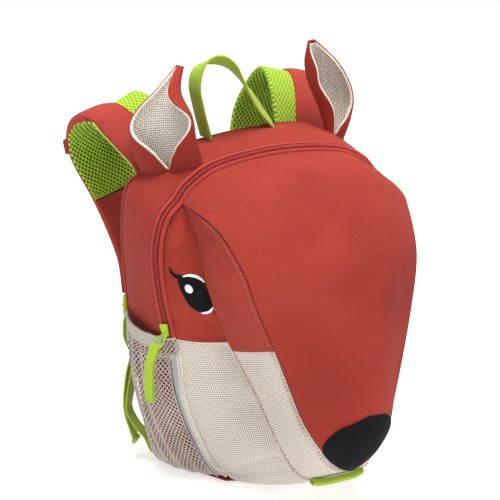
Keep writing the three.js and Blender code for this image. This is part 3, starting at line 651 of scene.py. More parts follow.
def buildBack():
    ring = backAt(np.linspace(wallStart, wallStop, 260))
    foot = np.linspace(ring[-1], ring[0], 40)[1:-1]  # closes the outline along the bottom
    ring = np.concatenate([ring, foot]) * [1, 0, 1]
    middle = np.array(back["middle"], float)
    shares = np.concatenate([np.linspace(0, 0.94, back["rings"]), back["border"]])[:, None]
    p = middle + (ring - middle) * shares[..., None]
    edge = np.linalg.norm(ring - middle, axis=-1) * (1 - shares)
    x, z = p[..., 0], p[..., 2]
    quilt = np.abs(np.sin(math.pi * (z - back["padZ"][0]) / back["quilt"])) ** 0.5
    pads = within(np.abs(x), *back["padX"]) * within(z, *back["padZ"])
    swell = back["swell"] * pads * (back["valley"] + (1 - back["valley"]) * quilt)
    drop = back["edgeDrop"] * (1 - np.clip(edge / back["edgeWidth"], 0, 1)) ** 2 + back["sunk"]
    y = bag["wallBack"] + back["clear"]
    verts, outerFaces, last = dome(p + np.stack([0 * x, y + back["pad"] - drop + swell, 0 * x], -1))
    inner, innerFaces, innerLast = dome(p + [0, y, 0], len(verts))
    faces = [face[::-1] for face in outerFaces] + innerFaces
    faces += np.stack([last[:-1], last[1:], innerLast[1:], innerLast[:-1]], -1).tolist()
    verts = np.concatenate([verts, inner])
    obj = addPiece("backPanel", verts, faces, "red", ["back_panel"], verts[:, [2, 0, 1]])
    lines = []
    for side in (-1, 1):
        xs, zs = side * np.linspace(*back["stitchX"], 30), np.linspace(*back["stitchZ"], 80)
        lines += [(x + 0 * zs, zs) for x in xs[[0, -1]]] + [(xs, z + 0 * xs) for z in zs[[0, -1]]]
    rows = [np.stack([x, 0 * x + y + back["stitchLift"], z], -1) for x, z in lines]
    stitchPiece("backStitches", [(row, np.broadcast_to([0.0, 1, 0], row.shape)) for row in rows], "redThread")


buildBody()
buildBack()
print("body, back and bottom sewn")

# front of the head; dents are level, share, size and depth
head = {"cloth": 2.0, "folds": 0.55, "foldSize": 60, "gussetDip": 0.22, "seamCord": 0.5, "faceRise": 0.9,
        "eyeDents": [(1.5, 0.55, 9, 6.0), (0.9, 0.4, 6, 2.5), (2.35, 0.75, 8, 2.5), (4.68, 0.62, 9, 5.5),
                     (4.5, 0.2, 8, 2.0)],
        "gussetDents": [(1.4, 0.6, 9, 4.0), (2.6, 0.65, 10, 4.5), (3.6, 0.3, 12, 2.5)],
        "cheekDents": [(5.3, 0.85, 14, 2.4), (6.4, 0.8, 14, 3.0), (8.3, 0.8, 9, 3.2), (8.8, 0.7, 8, 3.0)],
        "crease": [(8.38, 0.1), (7.99, 0.4), (7.86, 0.67), (7.76, 0.91)], "creaseSize": (6, 1.7)}


def frontFolds(seed, amount=1.0, surface=None, dents=()):
    def relief(a, b, p):
        total = head["folds"] * amount * ripple(p, seed, head["foldSize"])
        for level, share, size, depth in dents:
            far = p - surface(np.array(level), np.array(share))
            total = total - depth * np.exp(-np.sum(far * far, -1) / size ** 2)
        return total
    return relief


def buildFront():
    tip, border, thick = bag["tip"], bag["border"], head["cloth"]
    low = lambda v: border + head["gussetDip"] * (1 - 0.7 * v)  # the gusset's red ends below the cheek's top
    redStrip = lambda share, v: snoutStrip(tip + (low(v) - tip) * share, v)
    creamStrip = lambda share, v: snoutStrip(low(v) + 2 * (chin - low(v)) * share, v)
    for (side, mirror), seed in zip(bothSides, (11, 17)):
        clothPiece(f"eyePanel_{side}", basePanel, spread(tip, border + 0.01, 90), spread(-0.01, 1.004, 34), thick,
                   "red", [f"eye_panel_{side}"], relief=frontFolds(seed, 1.8, basePanel, head["eyeDents"]),
                   mirror=mirror, roll=0.5, calm=3)
        clothPiece(f"snoutGusset_{side}", redStrip, spread(0, 1.002, 90), spread(-0.004, 0.99, 34), thick, "red",
                   [f"snout_gusset_{side}"], relief=frontFolds(seed + 1, 1.5, snoutStrip, head["gussetDents"]),
                   mirror=mirror, roll=0.6, calm=3)
    crease = curveAt(head["crease"], np.linspace(0, 3, 14))  # where the cheek turns under
    dents = head["cheekDents"] + [(level, share, *head["creaseSize"]) for level, share in crease]
    clothPiece("cheekPanel", basePanel, spread(border - 0.01, 2 * chin - border + 0.01, 190, 0.002),
               spread(-0.004, 1.004, 40), thick, "cream", ["cheek_panel"],
               relief=frontFolds(23, 1.4, basePanel, dents), roll=0.5, calm=4)
    clothPiece("snoutBand", creamStrip, spread(-0.001, 1.001, 190, 0.002), spread(-0.004, 0.99, 26), thick, "cream",
               ["snout_band"], relief=frontFolds(29, 1.2), roll=0.5)
    clothPiece("facePanel", faceAt, spread(0.01, bag["faceEnd"], 150, 0.003), spread(-1, 1, 110, 0.003), thick, "red",
               ["face_panel"], rise=head["faceRise"], relief=frontFolds(31, 1.5), roll=1.4)


def buildSeams():  # the turned-in edges that show between two panels, darkened with painted shade of the seam's groove
    k = np.linspace(2 * chin - bag["border"] + 0.07, loop + bag["border"] - 0.07, 400)
    rows = [("faceSeam_left", edgeAt, 0.3, 9.6, 200), ("faceSeam_right", edgeAt, 10.4, 19.7, 200),
            ("snoutSeam_left", seamAt, 0.2, 5, 120), ("snoutSeam_right", seamAt, 15, 19.8, 120),
            ("chinSeam", seamAt, 5, 15, 240)]
    cords = [(name, curve(np.linspace(first, last, count))) for name, curve, first, last, count in rows]
    cords += [("zipSeam_front", touch(rimStrip(1.0), k, 1.08)[0]),
              ("zipSeam_wall", above(wallSurface, k, 0.975, 0.35)[0])]
    for name, path in cords:
        # the cords' dark colour is painted shade
        finish = "creamSeam" if name == "chinSeam" else "seam"
        cordPiece(name, path, head["seamCord"], finish, 6, (0, -1.0, 0.2), angle=80)


nose = {"shares": (-1, -0.8, -0.42, -0.2, 0.1, 0.35, 0.65, 1), "tops": (8.4, 8.2, 7.7, 7.3, 7.05, 7.2, 7.55, 8.1),
        "end": 9.99, "lift": 0.9, "thick": 1.3}


def noseSurface(u, v):
    top = np.interp(v, nose["shares"], nose["tops"])
    return faceAt(top + (nose["end"] - top) * u, v)


def buildNose():
    rise = nose["lift"] + nose["thick"]
    clothPiece("nosePatch", noseSurface, spread(0, 1, 34, 0.01), spread(-1, 1, 60, 0.006), nose["thick"], "black",
               ["nose_patch"], rise=rise, roll=0.9, relief=lambda a, b, p: 0.5 * ripple(p, 41, 30))
    rows = [above(noseSurface, 0.05, np.linspace(-0.95, 0.95, 60), rise, -1)]
    stitchPiece("noseStitches", rows, "blackThread", pitch=2.6, length=2.0)


buildFront()
buildSeams()
buildNose()
print("front panels and nose sewn")

# embroidered eyes: outlines in the eye panel's own level and share
eye = {"lift": 0.35, "thick": 0.7,
       "crown": [(0, 0), (0.25, 0), (0.5, 0), (0.7, 0), (0.85, 0.02), (0.94, 0.12), (1, 0.4), (1, 1)],  # share, drop
       "black": [(3.29, 0.4), (3.42, 0.355), (3.66, 0.395), (3.84, 0.445), (4.0, 0.505), (4.12, 0.6), (4.185, 0.71),
                 (4.175, 0.83), (4.1, 0.94), (3.98, 0.99), (3.68, 0.985), (3.46, 0.965), (3.3, 0.93), (3.22, 0.84),
                 (3.18, 0.71), (3.19, 0.56)],
       "upperRim": [(3.24, 0.47), (3.16, 0.58), (3.125, 0.69), (3.145, 0.83), (3.225, 0.925), (3.33, 0.97),
                    (3.34, 0.94), (3.25, 0.84), (3.22, 0.7), (3.24, 0.56)],
       "lowerRim": [(4.19, 0.7), (4.228, 0.79), (4.18, 0.915), (4.06, 0.995), (4.04, 0.97), (4.1, 0.92),
                    (4.16, 0.82)],
       "lash": [(3.05, 0.16), (3.16, 0.24), (3.22, 0.34), (3.21, 0.47), (3.34, 0.44), (3.33, 0.33), (3.26, 0.23),
                (3.16, 0.18)],
       "shine": (3.55, 0.58), "shineSize": (0.115, 0.088)}


def eyePatch(name, outline, finish, lift, mirror):  # a raised filled shape on the eye panel
    turns = np.linspace(0, len(outline), 96, endpoint=False)
    ring = curveAt(outline, turns, True)
    middle = ring.mean(0)
    shares, drops = np.transpose(eye["crown"])
    places = middle + (ring - middle) * shares[:, None, None]
    p, n = touch(basePanel, places[..., 0], places[..., 1])
    height = eye["thick"] * (1 - drops) + lift
    verts, faces, last = dome(p + n * height[:, None, None])
    faces.append(last[:-1][::-1].tolist())
    ahead = np.roll(ring, -1, axis=0)
    if np.sum(ring[:, 0] * ahead[:, 1] - ahead[:, 0] * ring[:, 1]) < 0:  # the outline runs the other way round
        faces = [face[::-1] for face in faces]
    return addPiece(name, verts, faces, finish, cut=verts[:, [2, 1, 1]] * [1, 1, 0], mirror=mirror)


def buildEyes():
    turns = np.linspace(0, 2 * math.pi, 16, endpoint=False)
    shine = np.column_stack([np.cos(turns), np.sin(turns)]) * eye["shineSize"] + eye["shine"]
    patches = [("UpperRim", eye["upperRim"], "white", 0), ("LowerRim", eye["lowerRim"], "white", 0),
               ("Black", eye["black"], "black", 0.1), ("Lash", eye["lash"], "black", 0.1),
               ("Shine", shine, "white", 0.6)]  # name, outline, finish and further lift
    for side, mirror in bothSides:
        for name, outline, finish, more in patches:
            eyePatch(f"eye{name}_{side}", outline, finish, eye["lift"] + more, mirror)


buildEyes()
print("eyes embroidered")

# zip: two folded tape edges, a channel of the same tape darkened with painted shade, and the coil
zipper = {"bow": 2.0, "fold": 1.5, "foldShare": 0.3, "channel": 0.5, "ends": 0.02, "toothPitch": 1.9,
          "toothLength": 1.612, "toothRound": 0.66, "toothLift": 1.5, "toothFall": 1.0, "toothSlant": 0.3,
          "toothRings": [(0, 0.5), (0.18, 1.0), (0.82, 1.0), (1, 0.5)], "toothSides": 5}  # share and girth of a ring
zipStart, zipStop = 2 * chin - bag["border"] + zipper["ends"], loop + bag["border"] - zipper["ends"]


def buildZip():
    base, share = rimStrip(zipper["bow"]), zipper["foldShare"]
    ks = spread(zipStart, zipStop, 300, 0.001)
    for name, first, last in (("wallSide", -0.06, share), ("panelSide", 1 - share, 1.05)):
        def folded(k, v, first=first, last=last):
            hump = np.sqrt(np.clip(1 - (2 * np.clip(v, 0, 1) - 1) ** 2, 0, 1))
            return above(base, k, first + (last - first) * v, zipper["fold"] * hump ** 0.6)[0]
        clothPiece(f"zipFold_{name}", folded, ks, np.linspace(0.001, 0.999, 15), 1.2, "zipRed", ["zip_tape"],
                   roll=0.2, held=None)
    # channel between the folds, in tape darkened with painted shade
    clothPiece("zipTape", base, ks, np.linspace(share - 0.05, 1.05 - share, 12), 1.0, "zipShadedTape", ["zip_tape"],
               roll=0.2, rise=-zipper["channel"], held=None)


def buildCoil():
    base, pitch, lift = rimStrip(zipper["bow"]), zipper["toothPitch"], zipper["toothLift"]
    rings, sides = zipper["toothRings"], zipper["toothSides"]
    k = np.linspace(zipStart, zipStop, 3000)
    line, up = touch(base, k, 0.5)
    across = unit(touch(base, k, 0.6)[0] - touch(base, k, 0.4)[0])
    run = walked(line)
    blocks = []
    for side in (-1, 1):
        at, n, b = spaced(np.arange(2 + side * pitch / 4, run[-1] - 2, pitch), run, line, up, across)
        slant = np.cross(b, n) * zipper["toothSlant"]
        first = at + b * side * 0.1 + n * lift - slant
        last = at + b * side * zipper["toothLength"] + n * (lift - zipper["toothFall"]) + slant
        aside = np.cross(unit(last - first), n)
        points = []
        for share, girth in rings:
            points += ringRound(first + (last - first) * share, aside, n, zipper["toothRound"] * girth, sides)
        blocks.append(np.stack(points, 1))
    verts = np.concatenate(blocks)
    addPiece("zipCoil", verts.reshape(-1, 3), rodFaces(len(verts), len(rings), sides), "coil", angle=60)


# grey piping beside the cheek, and the cheek's border that meets it
piping = {"levels": (5.28, 5.7, 6.2, 7.6, 8.25), "places": (0.6, 0.42, 0.22, 0.22, 0.5), "half": 0.24, "gap": 0.19}


def pipingAt(k):  # where the piping runs on the rim: 0 is the wall's edge and 1 the cheek's
    return np.interp(k - loop, piping["levels"], piping["places"])


def cheekLap(k, v):
    start = pipingAt(k) + piping["gap"]
    return rimStrip(2.9)(k, start + (1.06 - start) * v)


def buildPiping():
    tape = lambda k, v: rimStrip(3.2)(k, pipingAt(k) + piping["half"] * v)
    rows = [("pipingTape", tape, (piping["levels"][0], piping["levels"][-1]), (-1, 1), 1.4, "grey", 0.5, 0.7),
            ("cheekLap", cheekLap, (5.02, 8.5), (0, 1), 1.2, "cream", 0.4, 0.4),
            ("rimCloth", rimStrip(2.4), (4.9, 8.5), (-0.06, 1.05), 1.4, "red", 0.0, 0.5)]
    for side, mirror in bothSides:
        for name, surface, (top, low), ends, thick, finish, rise, roll in rows:
            nodes = [f"piping_{side}"] if name == "pipingTape" else ()
            clothPiece(f"{name}_{side}", surface, spread(loop + top, loop + low, 70), spread(*ends, 14, 0.01), thick,
                       finish, nodes, rise=rise, mirror=mirror, roll=roll, held=None)


buildZip()
buildCoil()
buildPiping()
print("zip and piping sewn")


# hand modelling helpers
def startEdit(obj):
    bpy.ops.object.select_all(action="DESELECT")
    obj.select_set(True)
    bpy.context.view_layer.objects.active = obj
    bpy.ops.object.mode_set(mode="EDIT")


def pick(obj, kind, test):  # selects the vertices or faces that pass
    bpy.ops.object.mode_set(mode="OBJECT")
    for part in (obj.data.vertices, obj.data.edges, obj.data.polygons):
        part.foreach_set("select", [False] * len(part))
    for item in getattr(obj.data, kind):
        item.select = bool(test(item))
    bpy.ops.object.mode_set(mode="EDIT")
    bpy.ops.mesh.select_mode(type="VERT" if kind == "vertices" else "FACE")


def stopEdit(obj, bevel, segments=2):
    bpy.ops.object.mode_set(mode="OBJECT")
    rounded = obj.modifiers.new("rounded", "BEVEL")
    rounded.width, rounded.segments, rounded.limit_method = bevel, segments, "ANGLE"
    rounded.angle_limit = math.radians(35)
    bpy.ops.object.modifier_apply(modifier="rounded")
    bpy.ops.object.shade_smooth_by_angle(angle=math.radians(40))


def settle(obj, name, axes, place, finish, nodes=()):  # puts a piece made at the origin where it belongs, in mm
    axes = np.asarray(axes, float)
    matrix = Matrix([[*axes[:, row], place[row] * mm] for row in range(3)] + [[0, 0, 0, 1]])
    obj.data.transform(matrix @ obj.matrix_basis)
    obj.matrix_basis = Matrix()
    obj.name = name
    obj.select_set(False)
    return dress(obj, finish, nodes)


def bandSurface(path, width, sideAt):  # flat webbing along a path
    path = np.asarray(path, float)

    def surface(t, v):
        k = np.clip(t, 0, 1) * (len(path) - 1)
        forward = unit(curveAt(path, k + 0.01) - curveAt(path, k - 0.01))
        side = sideAt(t)
        side = unit(side - forward * np.sum(side * forward, -1, keepdims=True))
        return curveAt(path, k) + side * (v * width)[..., None]
    return surface


def always(way):  # the same direction all along
    return lambda t: np.broadcast_to(way, t.shape + (3,))


def webbingPiece(name, path, width, sideAt, thick, count, nodes=(), mirror=False, columns=12, finish="lime"):
    us, vs = spread(0, 1, count, 0.002), spread(-0.5, 0.5, columns, 0.02)
    return clothPiece(name, bandSurface(path, width, sideAt), us, vs, thick, finish, nodes, rise=thick / 2,
                      under=lambda a, b, p: 0 * a, roll=thick * 0.45, mirror=mirror, held=None)


# slider, ring and puller
slider = {"level": 4.72, "width": 11, "length": 14, "height": 5, "taper": 0.74, "clear": 1.5, "groove": (1.3, -1.4),
          "bridgeInset": 2.4, "bridge": 1.2, "bevel": 0.5, "ring": (4.6, 1.15), "ringShape": (0.95, 1.55, 1),
          "pinchAt": -3, "pinch": 0.7, "hang": (-0.7, 0.06, -0.72), "ringDown": 4.0, "ringOut": 2.0, "ringHang": 6.5}
puller = {"width": 8.8, "thick": 1.4, "layer": 1.125, "start": 6.0, "turn": 2.2, "lie": (0.45, -0.9, 0),
          "line": [(-130, -3, 125), (-129.5, -1, 106), (-128, 1, 90)]}


def buildSlider():
    k = np.array(loop + slider["level"])
    seat, out = touch(rimStrip(zipper["bow"]), k, 0.5)
    down = unit(rimAt(k + 0.02) - rimAt(k - 0.02))
    out = unit(out - down * np.dot(out, down))
    side = np.cross(down, out)
    centre = seat + out * (slider["clear"] + slider["height"] / 2)
    bpy.ops.object.select_all(action="DESELECT")
    bpy.ops.mesh.primitive_cube_add(size=1)
    obj = bpy.context.object
    obj.scale = (slider["width"] * mm, slider["length"] * mm, slider["height"] * mm)
    bpy.ops.object.transform_apply(location=False, rotation=False, scale=True)
    startEdit(obj)
    pick(obj, "vertices", lambda v: v.co.y > 0)
    bpy.ops.transform.resize(value=(slider["taper"], 1, 1))
    pick(obj, "polygons", lambda f: abs(f.normal.x) > 0.7)
    rim, depth = slider["groove"]
    bpy.ops.mesh.inset(thickness=rim * mm, depth=depth * mm)  # groove that takes the coil
    pick(obj, "polygons", lambda f: f.normal.z > 0.9 and f.center.z > 2 * mm)
    bpy.ops.mesh.inset(thickness=slider["bridgeInset"] * mm, depth=0)
    bpy.ops.mesh.extrude_region_move(TRANSFORM_OT_translate={"value": (0, 0, slider["bridge"] * mm)})
    stopEdit(obj, slider["bevel"] * mm)
    settle(obj, "zipSlider", [side, down, out], centre, "limePlastic", ["zip_slider"])

    ringSize, ringRadius = slider["ring"]
    bpy.ops.mesh.primitive_torus_add(major_segments=32, minor_segments=10, major_radius=ringSize * mm,
                                     minor_radius=ringRadius * mm)
    obj = bpy.context.object
    startEdit(obj)
    bpy.ops.mesh.select_all(action="SELECT")
    bpy.ops.transform.resize(value=slider["ringShape"])
    pick(obj, "vertices", lambda v: v.co.y < slider["pinchAt"] * mm)
    bpy.ops.transform.resize(value=(slider["pinch"], 1, 1))
    bpy.ops.object.mode_set(mode="OBJECT")
    bpy.ops.object.shade_smooth()
    hang = unit(np.array(slider["hang"]))
    flat = unit(side - hang * np.dot(side, hang))
    place = centre + down * slider["ringDown"] + out * slider["ringOut"] + hang * slider["ringHang"]
    settle(obj, "zipRing", [flat, hang, np.cross(flat, hang)], place, "limePlastic")
    buildPuller(place + hang * puller["start"])


def buildPuller(top):  # webbing doubled through the ring
    run = curveAt([tuple(top)] + puller["line"], np.linspace(0, 3, 12))
    way = unit(np.gradient(run, axis=0))
    half = unit(np.cross(way, puller["lie"])) * puller["layer"]
    path = np.concatenate([(run + half)[::-1], [run[0] - way[0] * puller["turn"]], run - half])
    webbingPiece("zipPuller", path, puller["width"], always(puller["lie"]), puller["thick"], 90, ["zip_puller"],
                 columns=8)


buildSlider()
print("slider and puller hung")

# loop of webbing under the nose
tongue = {"seat": 0.8, "reach": 6.2, "halfHeight": 4.2, "halfSpan": 0.84, "wall": 1.8, "sag": 3.2,
          "shift": (-2.5, 0, 2.0), "out": (0, -0.56, -0.83)}


def buildTongue():
    out = unit(np.array(tongue["out"]))
    up = np.array([0, out[2], -out[1]])
    span = tongue["halfSpan"]

    def fold(k, v):
        angle = math.pi * (0.5 - v)
        reach = tongue["reach"] * np.maximum(0, np.cos(angle)) ** 0.6
        straight = np.maximum(0, np.abs(v - 0.5) - 0.35) / 0.15
        lift = tongue["halfHeight"] * np.sin(angle) * (1 - 0.25 * straight)
        reach = reach + tongue["seat"] + tongue["sag"] * (1 - ((k - chin) / span) ** 2)
        return seamAt(k) + out * reach[..., None] + up * lift[..., None] + np.array(tongue["shift"])
    clothPiece("tongueLoop", fold, spread(chin - span, chin + span, 60, 0.01), spread(0.999, 0.001, 24, 0.01),
               tongue["wall"], "lime", ["tongue_loop"], roll=0.7, held=None)


buildTongue()
print("tongue folded")

# ears: leaves of cloth, folded round at the foot and lined
ears = [{"side": "left", "seed": 51, "foot": (-87.5, 33), "tip": (-73, 44, 371), "facing": -58, "bow": -9,
         "lean": 2.5, "half": (29, 30, 28, 11, 2), "depth": (5, 9, 11, 8, 2), "near": (178, 144, 92, 150, 178),
         "far": (178, 158, 90, 78, 70)},
        {"side": "right", "seed": 57, "foot": (82, 40), "tip": (62, 48, 379), "facing": -28, "bow": 5.5,
         "lean": 1.4, "half": (7, 13.5, 18.5, 14.5, 1.8), "depth": (6, 10, 12, 9, 1.8),
         "near": (172, 120, 92, 88, 70), "far": (172, 172, 146, 150, 120)}]
earCloth = {"outer": 2.0, "lining": 1.0, "inset": 2.3, "clear": 1.2, "edge": 1.05, "edgeInset": 0.2, "sunk": 0.05,
            "folds": 0.7, "foldSize": 34}


def earSurface(ear, inset):  # near and far tell how far the two borders are folded round, in degrees
    turn = math.radians(ear["facing"])

    def surface(v, u):
        half, depth, near, far = (columnAt(ear[key], np.clip(v, 0, 1) * 4)
                                  for key in ("half", "depth", "near", "far"))
        angle = np.radians(np.where(u > 0, near, far) * u)
        sideways = np.maximum(half - inset, 0.3) * np.sin(angle)
        behind = np.maximum(depth - inset, 0.3) * np.cos(angle)
        x = sideways * math.cos(turn) - behind * math.sin(turn)
        y = sideways * math.sin(turn) + behind * math.cos(turn)
        footX, footY = ear["foot"][0] + x, ear["foot"][1] + y
        inside = footX - np.sign(x) * earCloth["outer"]
        rise = np.maximum(roofZ(footX, footY), roofZ(inside, footY)) + earCloth["clear"]
        lean = (ear["tip"][0] - ear["foot"][0]) * np.maximum(0, v) ** ear["lean"] + ear["bow"] * np.sin(math.pi * v)
        return np.stack([footX + lean, footY + (ear["tip"][1] - ear["foot"][1]) * v,
                         rise + (ear["tip"][2] - rise) * v], -1)
    return surface


def buildEar(ear):
    side, low = ear["side"], -earCloth["sunk"]
    folds = lambda a, b, p: earCloth["folds"] * ripple(p, ear["seed"], earCloth["foldSize"])
    clothPiece(f"earLeaf_{side}", earSurface(ear, 0), spread(low, 1, 70), spread(1, -1, 60), earCloth["outer"], "red",
               [f"ear_{side}"], relief=folds, roll=0.8)
    clothPiece(f"earLining_{side}", earSurface(ear, earCloth["inset"]), spread(low, 0.97, 70),
               spread(0.99, -0.99, 60), earCloth["lining"], "cream", [f"ear_lining_{side}"], roll=0.4)
    v = np.linspace(0.004, 0.985, 90)
    for name, end in (("near", 1.0), ("far", -1.0)):  # the lining is turned over the border
        p = earSurface(ear, earCloth["edgeInset"])(v, np.full(len(v), end))
        cordPiece(f"earEdge_{side}_{name}", p, earCloth["edge"] * (1 - 0.5 * smooth(0.85, 1, v)), "creamPlain",
                  up=(0, -1.0, 0.1), cut=[p[:, 2], 0 * v, 0 * v])


for earRows in ears:
    buildEar(earRows)
print("ears sewn")

# handle: the path's x and height, and the way that the webbing's width lies along it
handle = {"width": 20, "y": 56, "feet": (-41, 26), "seat": 1.3, "thick": 2.2, "ease": 0.07,
          "top": [(-48, 328), (-52, 350), (-46, 366), (-31, 370.5), (-15, 362), (1, 340), (15, 320)],
          "lie": [(0, -0.02, 1, 0), (0.28, -0.02, 1, 0), (0.48, 0, 0.8, -0.55), (0.6, 0.1, 0.85, -0.4),
                  (0.8, 0.5, 0.75, 0.2), (1, 0.4, 0.9, 0.1)],
          "stitchY": 5.5, "stitchHalf": 1.5, "stitchRise": 6.0, "stitchFacing": (-1.0, 0, 0.2)}


def buildHandle():
    y = handle["y"]
    roof = roofZ(np.array(handle["feet"], float), np.full(2, float(y))) + handle["seat"]
    feet = list(zip(handle["feet"], (y, y), roof))
    path = [feet[0]] + [(x, y, z) for x, z in handle["top"]] + [feet[1]]
    steps = [handle["ease"] * step for step in (-1, -0.6, -0.2, 0.2, 0.6, 1)]
    across = lambda t: sum(rowAt(handle["lie"], t + step) for step in steps) / len(steps)
    webbingPiece("carryHandle", path, handle["width"], across, handle["thick"], 150, ["carry_handle"], columns=14)
    for (name, _), (x, _, z) in zip(bothSides, feet):
        xs = np.linspace(x - handle["stitchHalf"], x + handle["stitchHalf"], 4)
        rows = [(np.stack([xs, 0 * xs + y + step, 0 * xs + z + handle["stitchRise"]], -1),
                 np.broadcast_to(handle["stitchFacing"], (4, 3))) for step in (-handle["stitchY"], handle["stitchY"])]
        stitchPiece(f"handleStitches_{name}", rows, "limeThread", pitch=1.5, length=1.2)


buildHandle()
print("handle sewn")

# shoulder straps: widths and middle lines from the sewn end down to the adjuster
strap = {"widths": (54, 56, 58, 58, 58, 58, 56, 47, 31), "cover": 2.5, "pad": 5.0, "meshEnd": 0.75, "coverRise": 0.3,
         "lime": {"left": (0.24, 0.19), "right": (0.28, 0.19)},  # bare share, and how much more over the shoulder
         "swell": 2.0, "lowSwell": 1.4, "holes": 4.0, "dimple": 0.9, "cutLength": 340, "edgeFrom": 0.4,
         "edge": [(0.4, 0.3), (0.47, 2.3), (0.52, 2.2), (0.57, 0.9), (0.62, 1.0), (0.7, 1.6), (0.9, 1.4), (1, 0.6)],
         "left": [(72, 72.6, 262), (77, 76, 289), (92, 88, 312), (104, 106, 326), (112, 127, 317), (106, 142, 287),
                  (88, 136, 242), (81, 117, 192), (88.5, 104, 152)],
         "right": [(70, 72.6, 262), (71, 76, 294), (72, 88, 325), (72, 106, 340), (69, 127, 324), (63, 142, 291),
                   (62, 141, 246), (72, 122, 192), (80, 104, 152)],
         "neck": [(0, 0.96, 0, 0.28), (0.45, 0.96, 0, 0.28), (0.75, 0.98, 0.1, 0.15), (1, 0.95, 0.3, 0.1)]}


def strapFrame(side, t):  # both straps are worked out on the left
    line = np.array(strap[side], float) * [-1, 1, 1]
    k = np.clip(t, 0, 1) * (len(line) - 1)
    forward = unit(curveAt(line, k + 0.001) - curveAt(line, k - 0.001))
    neck = rowAt(strap["neck"], np.clip(t, 0, 1))
    neck = unit(neck - forward * np.sum(neck * forward, -1, keepdims=True))
    return curveAt(line, k), forward, neck, np.cross(neck, forward), columnAt(strap["widths"], k)


def strapSurface(side):
    def surface(t, across):
        centre, _, neck, _, width = strapFrame(side, t)
        return centre + neck * (width * (0.5 - across))[..., None]
    return surface


def holeAt(a, b):  # the spacer mesh's holes, as in its material
    x, y = a / strap["holes"] * weave["stretch"], b / strap["holes"]
    far = [np.hypot((x + shift) % 1 - 0.5, (y + shift) % 1 - 0.5) for shift in (0, 0.5)]
    return 1 - smooth(*weave["hole"], np.minimum(*far))


def swelling(b, half):  # 1 in the middle and 0 at the half-width
    return 1 - np.clip(np.abs(b) / half, 0, 1) ** 2


def buildStrap(side, mirror, seed):
    surface = strapSurface(side)
    (share, more), end, pad, cover = strap["lime"][side], strap["meshEnd"], strap["pad"], strap["cover"]
    wider = lambda t: share + more * np.exp(-((t - 0.34) / 0.2) ** 2)
    covered = lambda t, v: surface(t, wider(t) + (1 - wider(t)) * v)
    striped = lambda t, v: surface(t, 0.01 + (wider(t) + 0.03) * v)
    clothPiece(f"strapCover_{side}", covered, spread(0, 1, 120, 0.003), spread(0, 1, 34, 0.01), cover, "strapRed",
               [f"strap_cover_{side}"], rise=cover + strap["coverRise"], roll=1.8, mirror=mirror,
               relief=lambda a, b, p: strap["swell"] * swelling(b, 22) + 0.5 * ripple(p, seed, 55))
    mesh = clothPiece(f"strapMesh_{side}", surface, spread(0, end - 0.002, 200, 0.002), spread(0, 1, 50, 0.006), pad,
                      "limeMesh", [f"strap_mesh_{side}"], relief=lambda a, b, p: -0.8 * holeAt(a, b), roll=2.4,
                      under=lambda a, b, p: strap["dimple"] * holeAt(a, b) - strap["swell"] * swelling(b, 29),
                      mirror=mirror, held=None, calm=5)
    clothPiece(f"strapStrip_{side}", striped, spread(0.01, end - 0.01, 150, 0.003), spread(0, 1, 22, 0.01), 0.8,
               "limeStrip", relief=lambda a, b, p: -0.5 * holeAt(a, b), rise=0.9, roll=0.6, mirror=mirror, calm=3)
    low = clothPiece(f"strapLower_{side}", surface, spread(end, 1, 50, 0.01), spread(0, 1, 40, 0.006), pad,
                     "strapRed", [f"strap_lower_{side}"], roll=2.2, mirror=mirror, held=None,
                     under=lambda a, b, p: 0.3 * ripple(p, seed + 3, 40) - strap["lowSwell"] * swelling(b, 24))
    # rounded inner edge, pale binding where cover and mesh meet, and the cover turned in further down
    edgeFrom = strap["edgeFrom"]
    edges = [("Lip", (0.01, end - 0.01, 150), 0.025, 1.5, 2.2, "limeStrip", 12, 1.0),
             ("Binding", (0.01, edgeFrom, 90), 1.0, 1.0, 0.9, "limeThread", 8, 1.0),
             ("Edge", (edgeFrom, 0.995, 120), 0.985, 1.6, None, "strapRed", 12, 1.3)]
    for name, run, place, under, radius, finish, sides, flat in edges:
        t = np.linspace(*run)
        path, up = above(surface, t, place, -under)
        radius = rowAt(strap["edge"], t)[:, 0] if radius is None else radius
        cut = None if name == "Binding" else [t * strap["cutLength"], 0 * t, 0 * t]
        cordPiece(f"strap{name}_{side}", path, radius, finish, sides, up, flat, mirror, cut=cut)
    rows = [above(covered, np.linspace(0.01, 1, 160), place, cover + 0.55) for place in (0.07, 0.92)]
    stitchPiece(f"strapStitches_{side}", rows, "redThread", mirror)
    crossing = np.linspace(0.06, 0.94, 30)
    depth = pad + strap["lowSwell"] * swelling((crossing - 0.5) * 50, 24) - 0.1
    rows = [above(surface, end + 0.015, crossing, depth, -1)]
    stitchPiece(f"strapCrossStitches_{side}", rows, "redThread", mirror)
    buildTab(side, mirror, surface)
    buildAdjuster(side, mirror)


# small folded tab on the strap's outer edge; the path is a share of the reach, more of it, and lift
tab = {"at": 0.6, "along": 14, "thick": 1.5, "from": 0.72, "rise": 2.4,
       "path": [(0, 0, 0), (0.6, 0, 0.6), (1, -0.5, -0.5), (1, 1.5, -2.0), (1, -0.5, -3.4), (0.9, 0, -3.6)]}


def buildTab(side, mirror, surface):
    p, n = touch(surface, [tab["at"], tab["at"] + 0.01, tab["at"]], [tab["from"], tab["from"], 1.0])
    reach, outward = np.linalg.norm(p[2] - p[0]), unit(p[2] - p[0])
    base = p[0] + n[0] * (strap["cover"] + tab["rise"])
    path = [base + outward * (reach * share + more) + n[0] * lift for share, more, lift in tab["path"]]
    webbingPiece(f"strapTab_{side}", path, tab["along"], always(unit(p[1] - p[0])), tab["thick"], 40,
                 [f"strap_tab_{side}"], mirror, 10, "strapRed")


lock = {"width": 34, "length": 22, "thick": 4, "slotWidth": 27, "slot": 5.5, "bar": 4, "taper": 0.9,
        "grip": (0.8, 0.5), "round": 0.9}


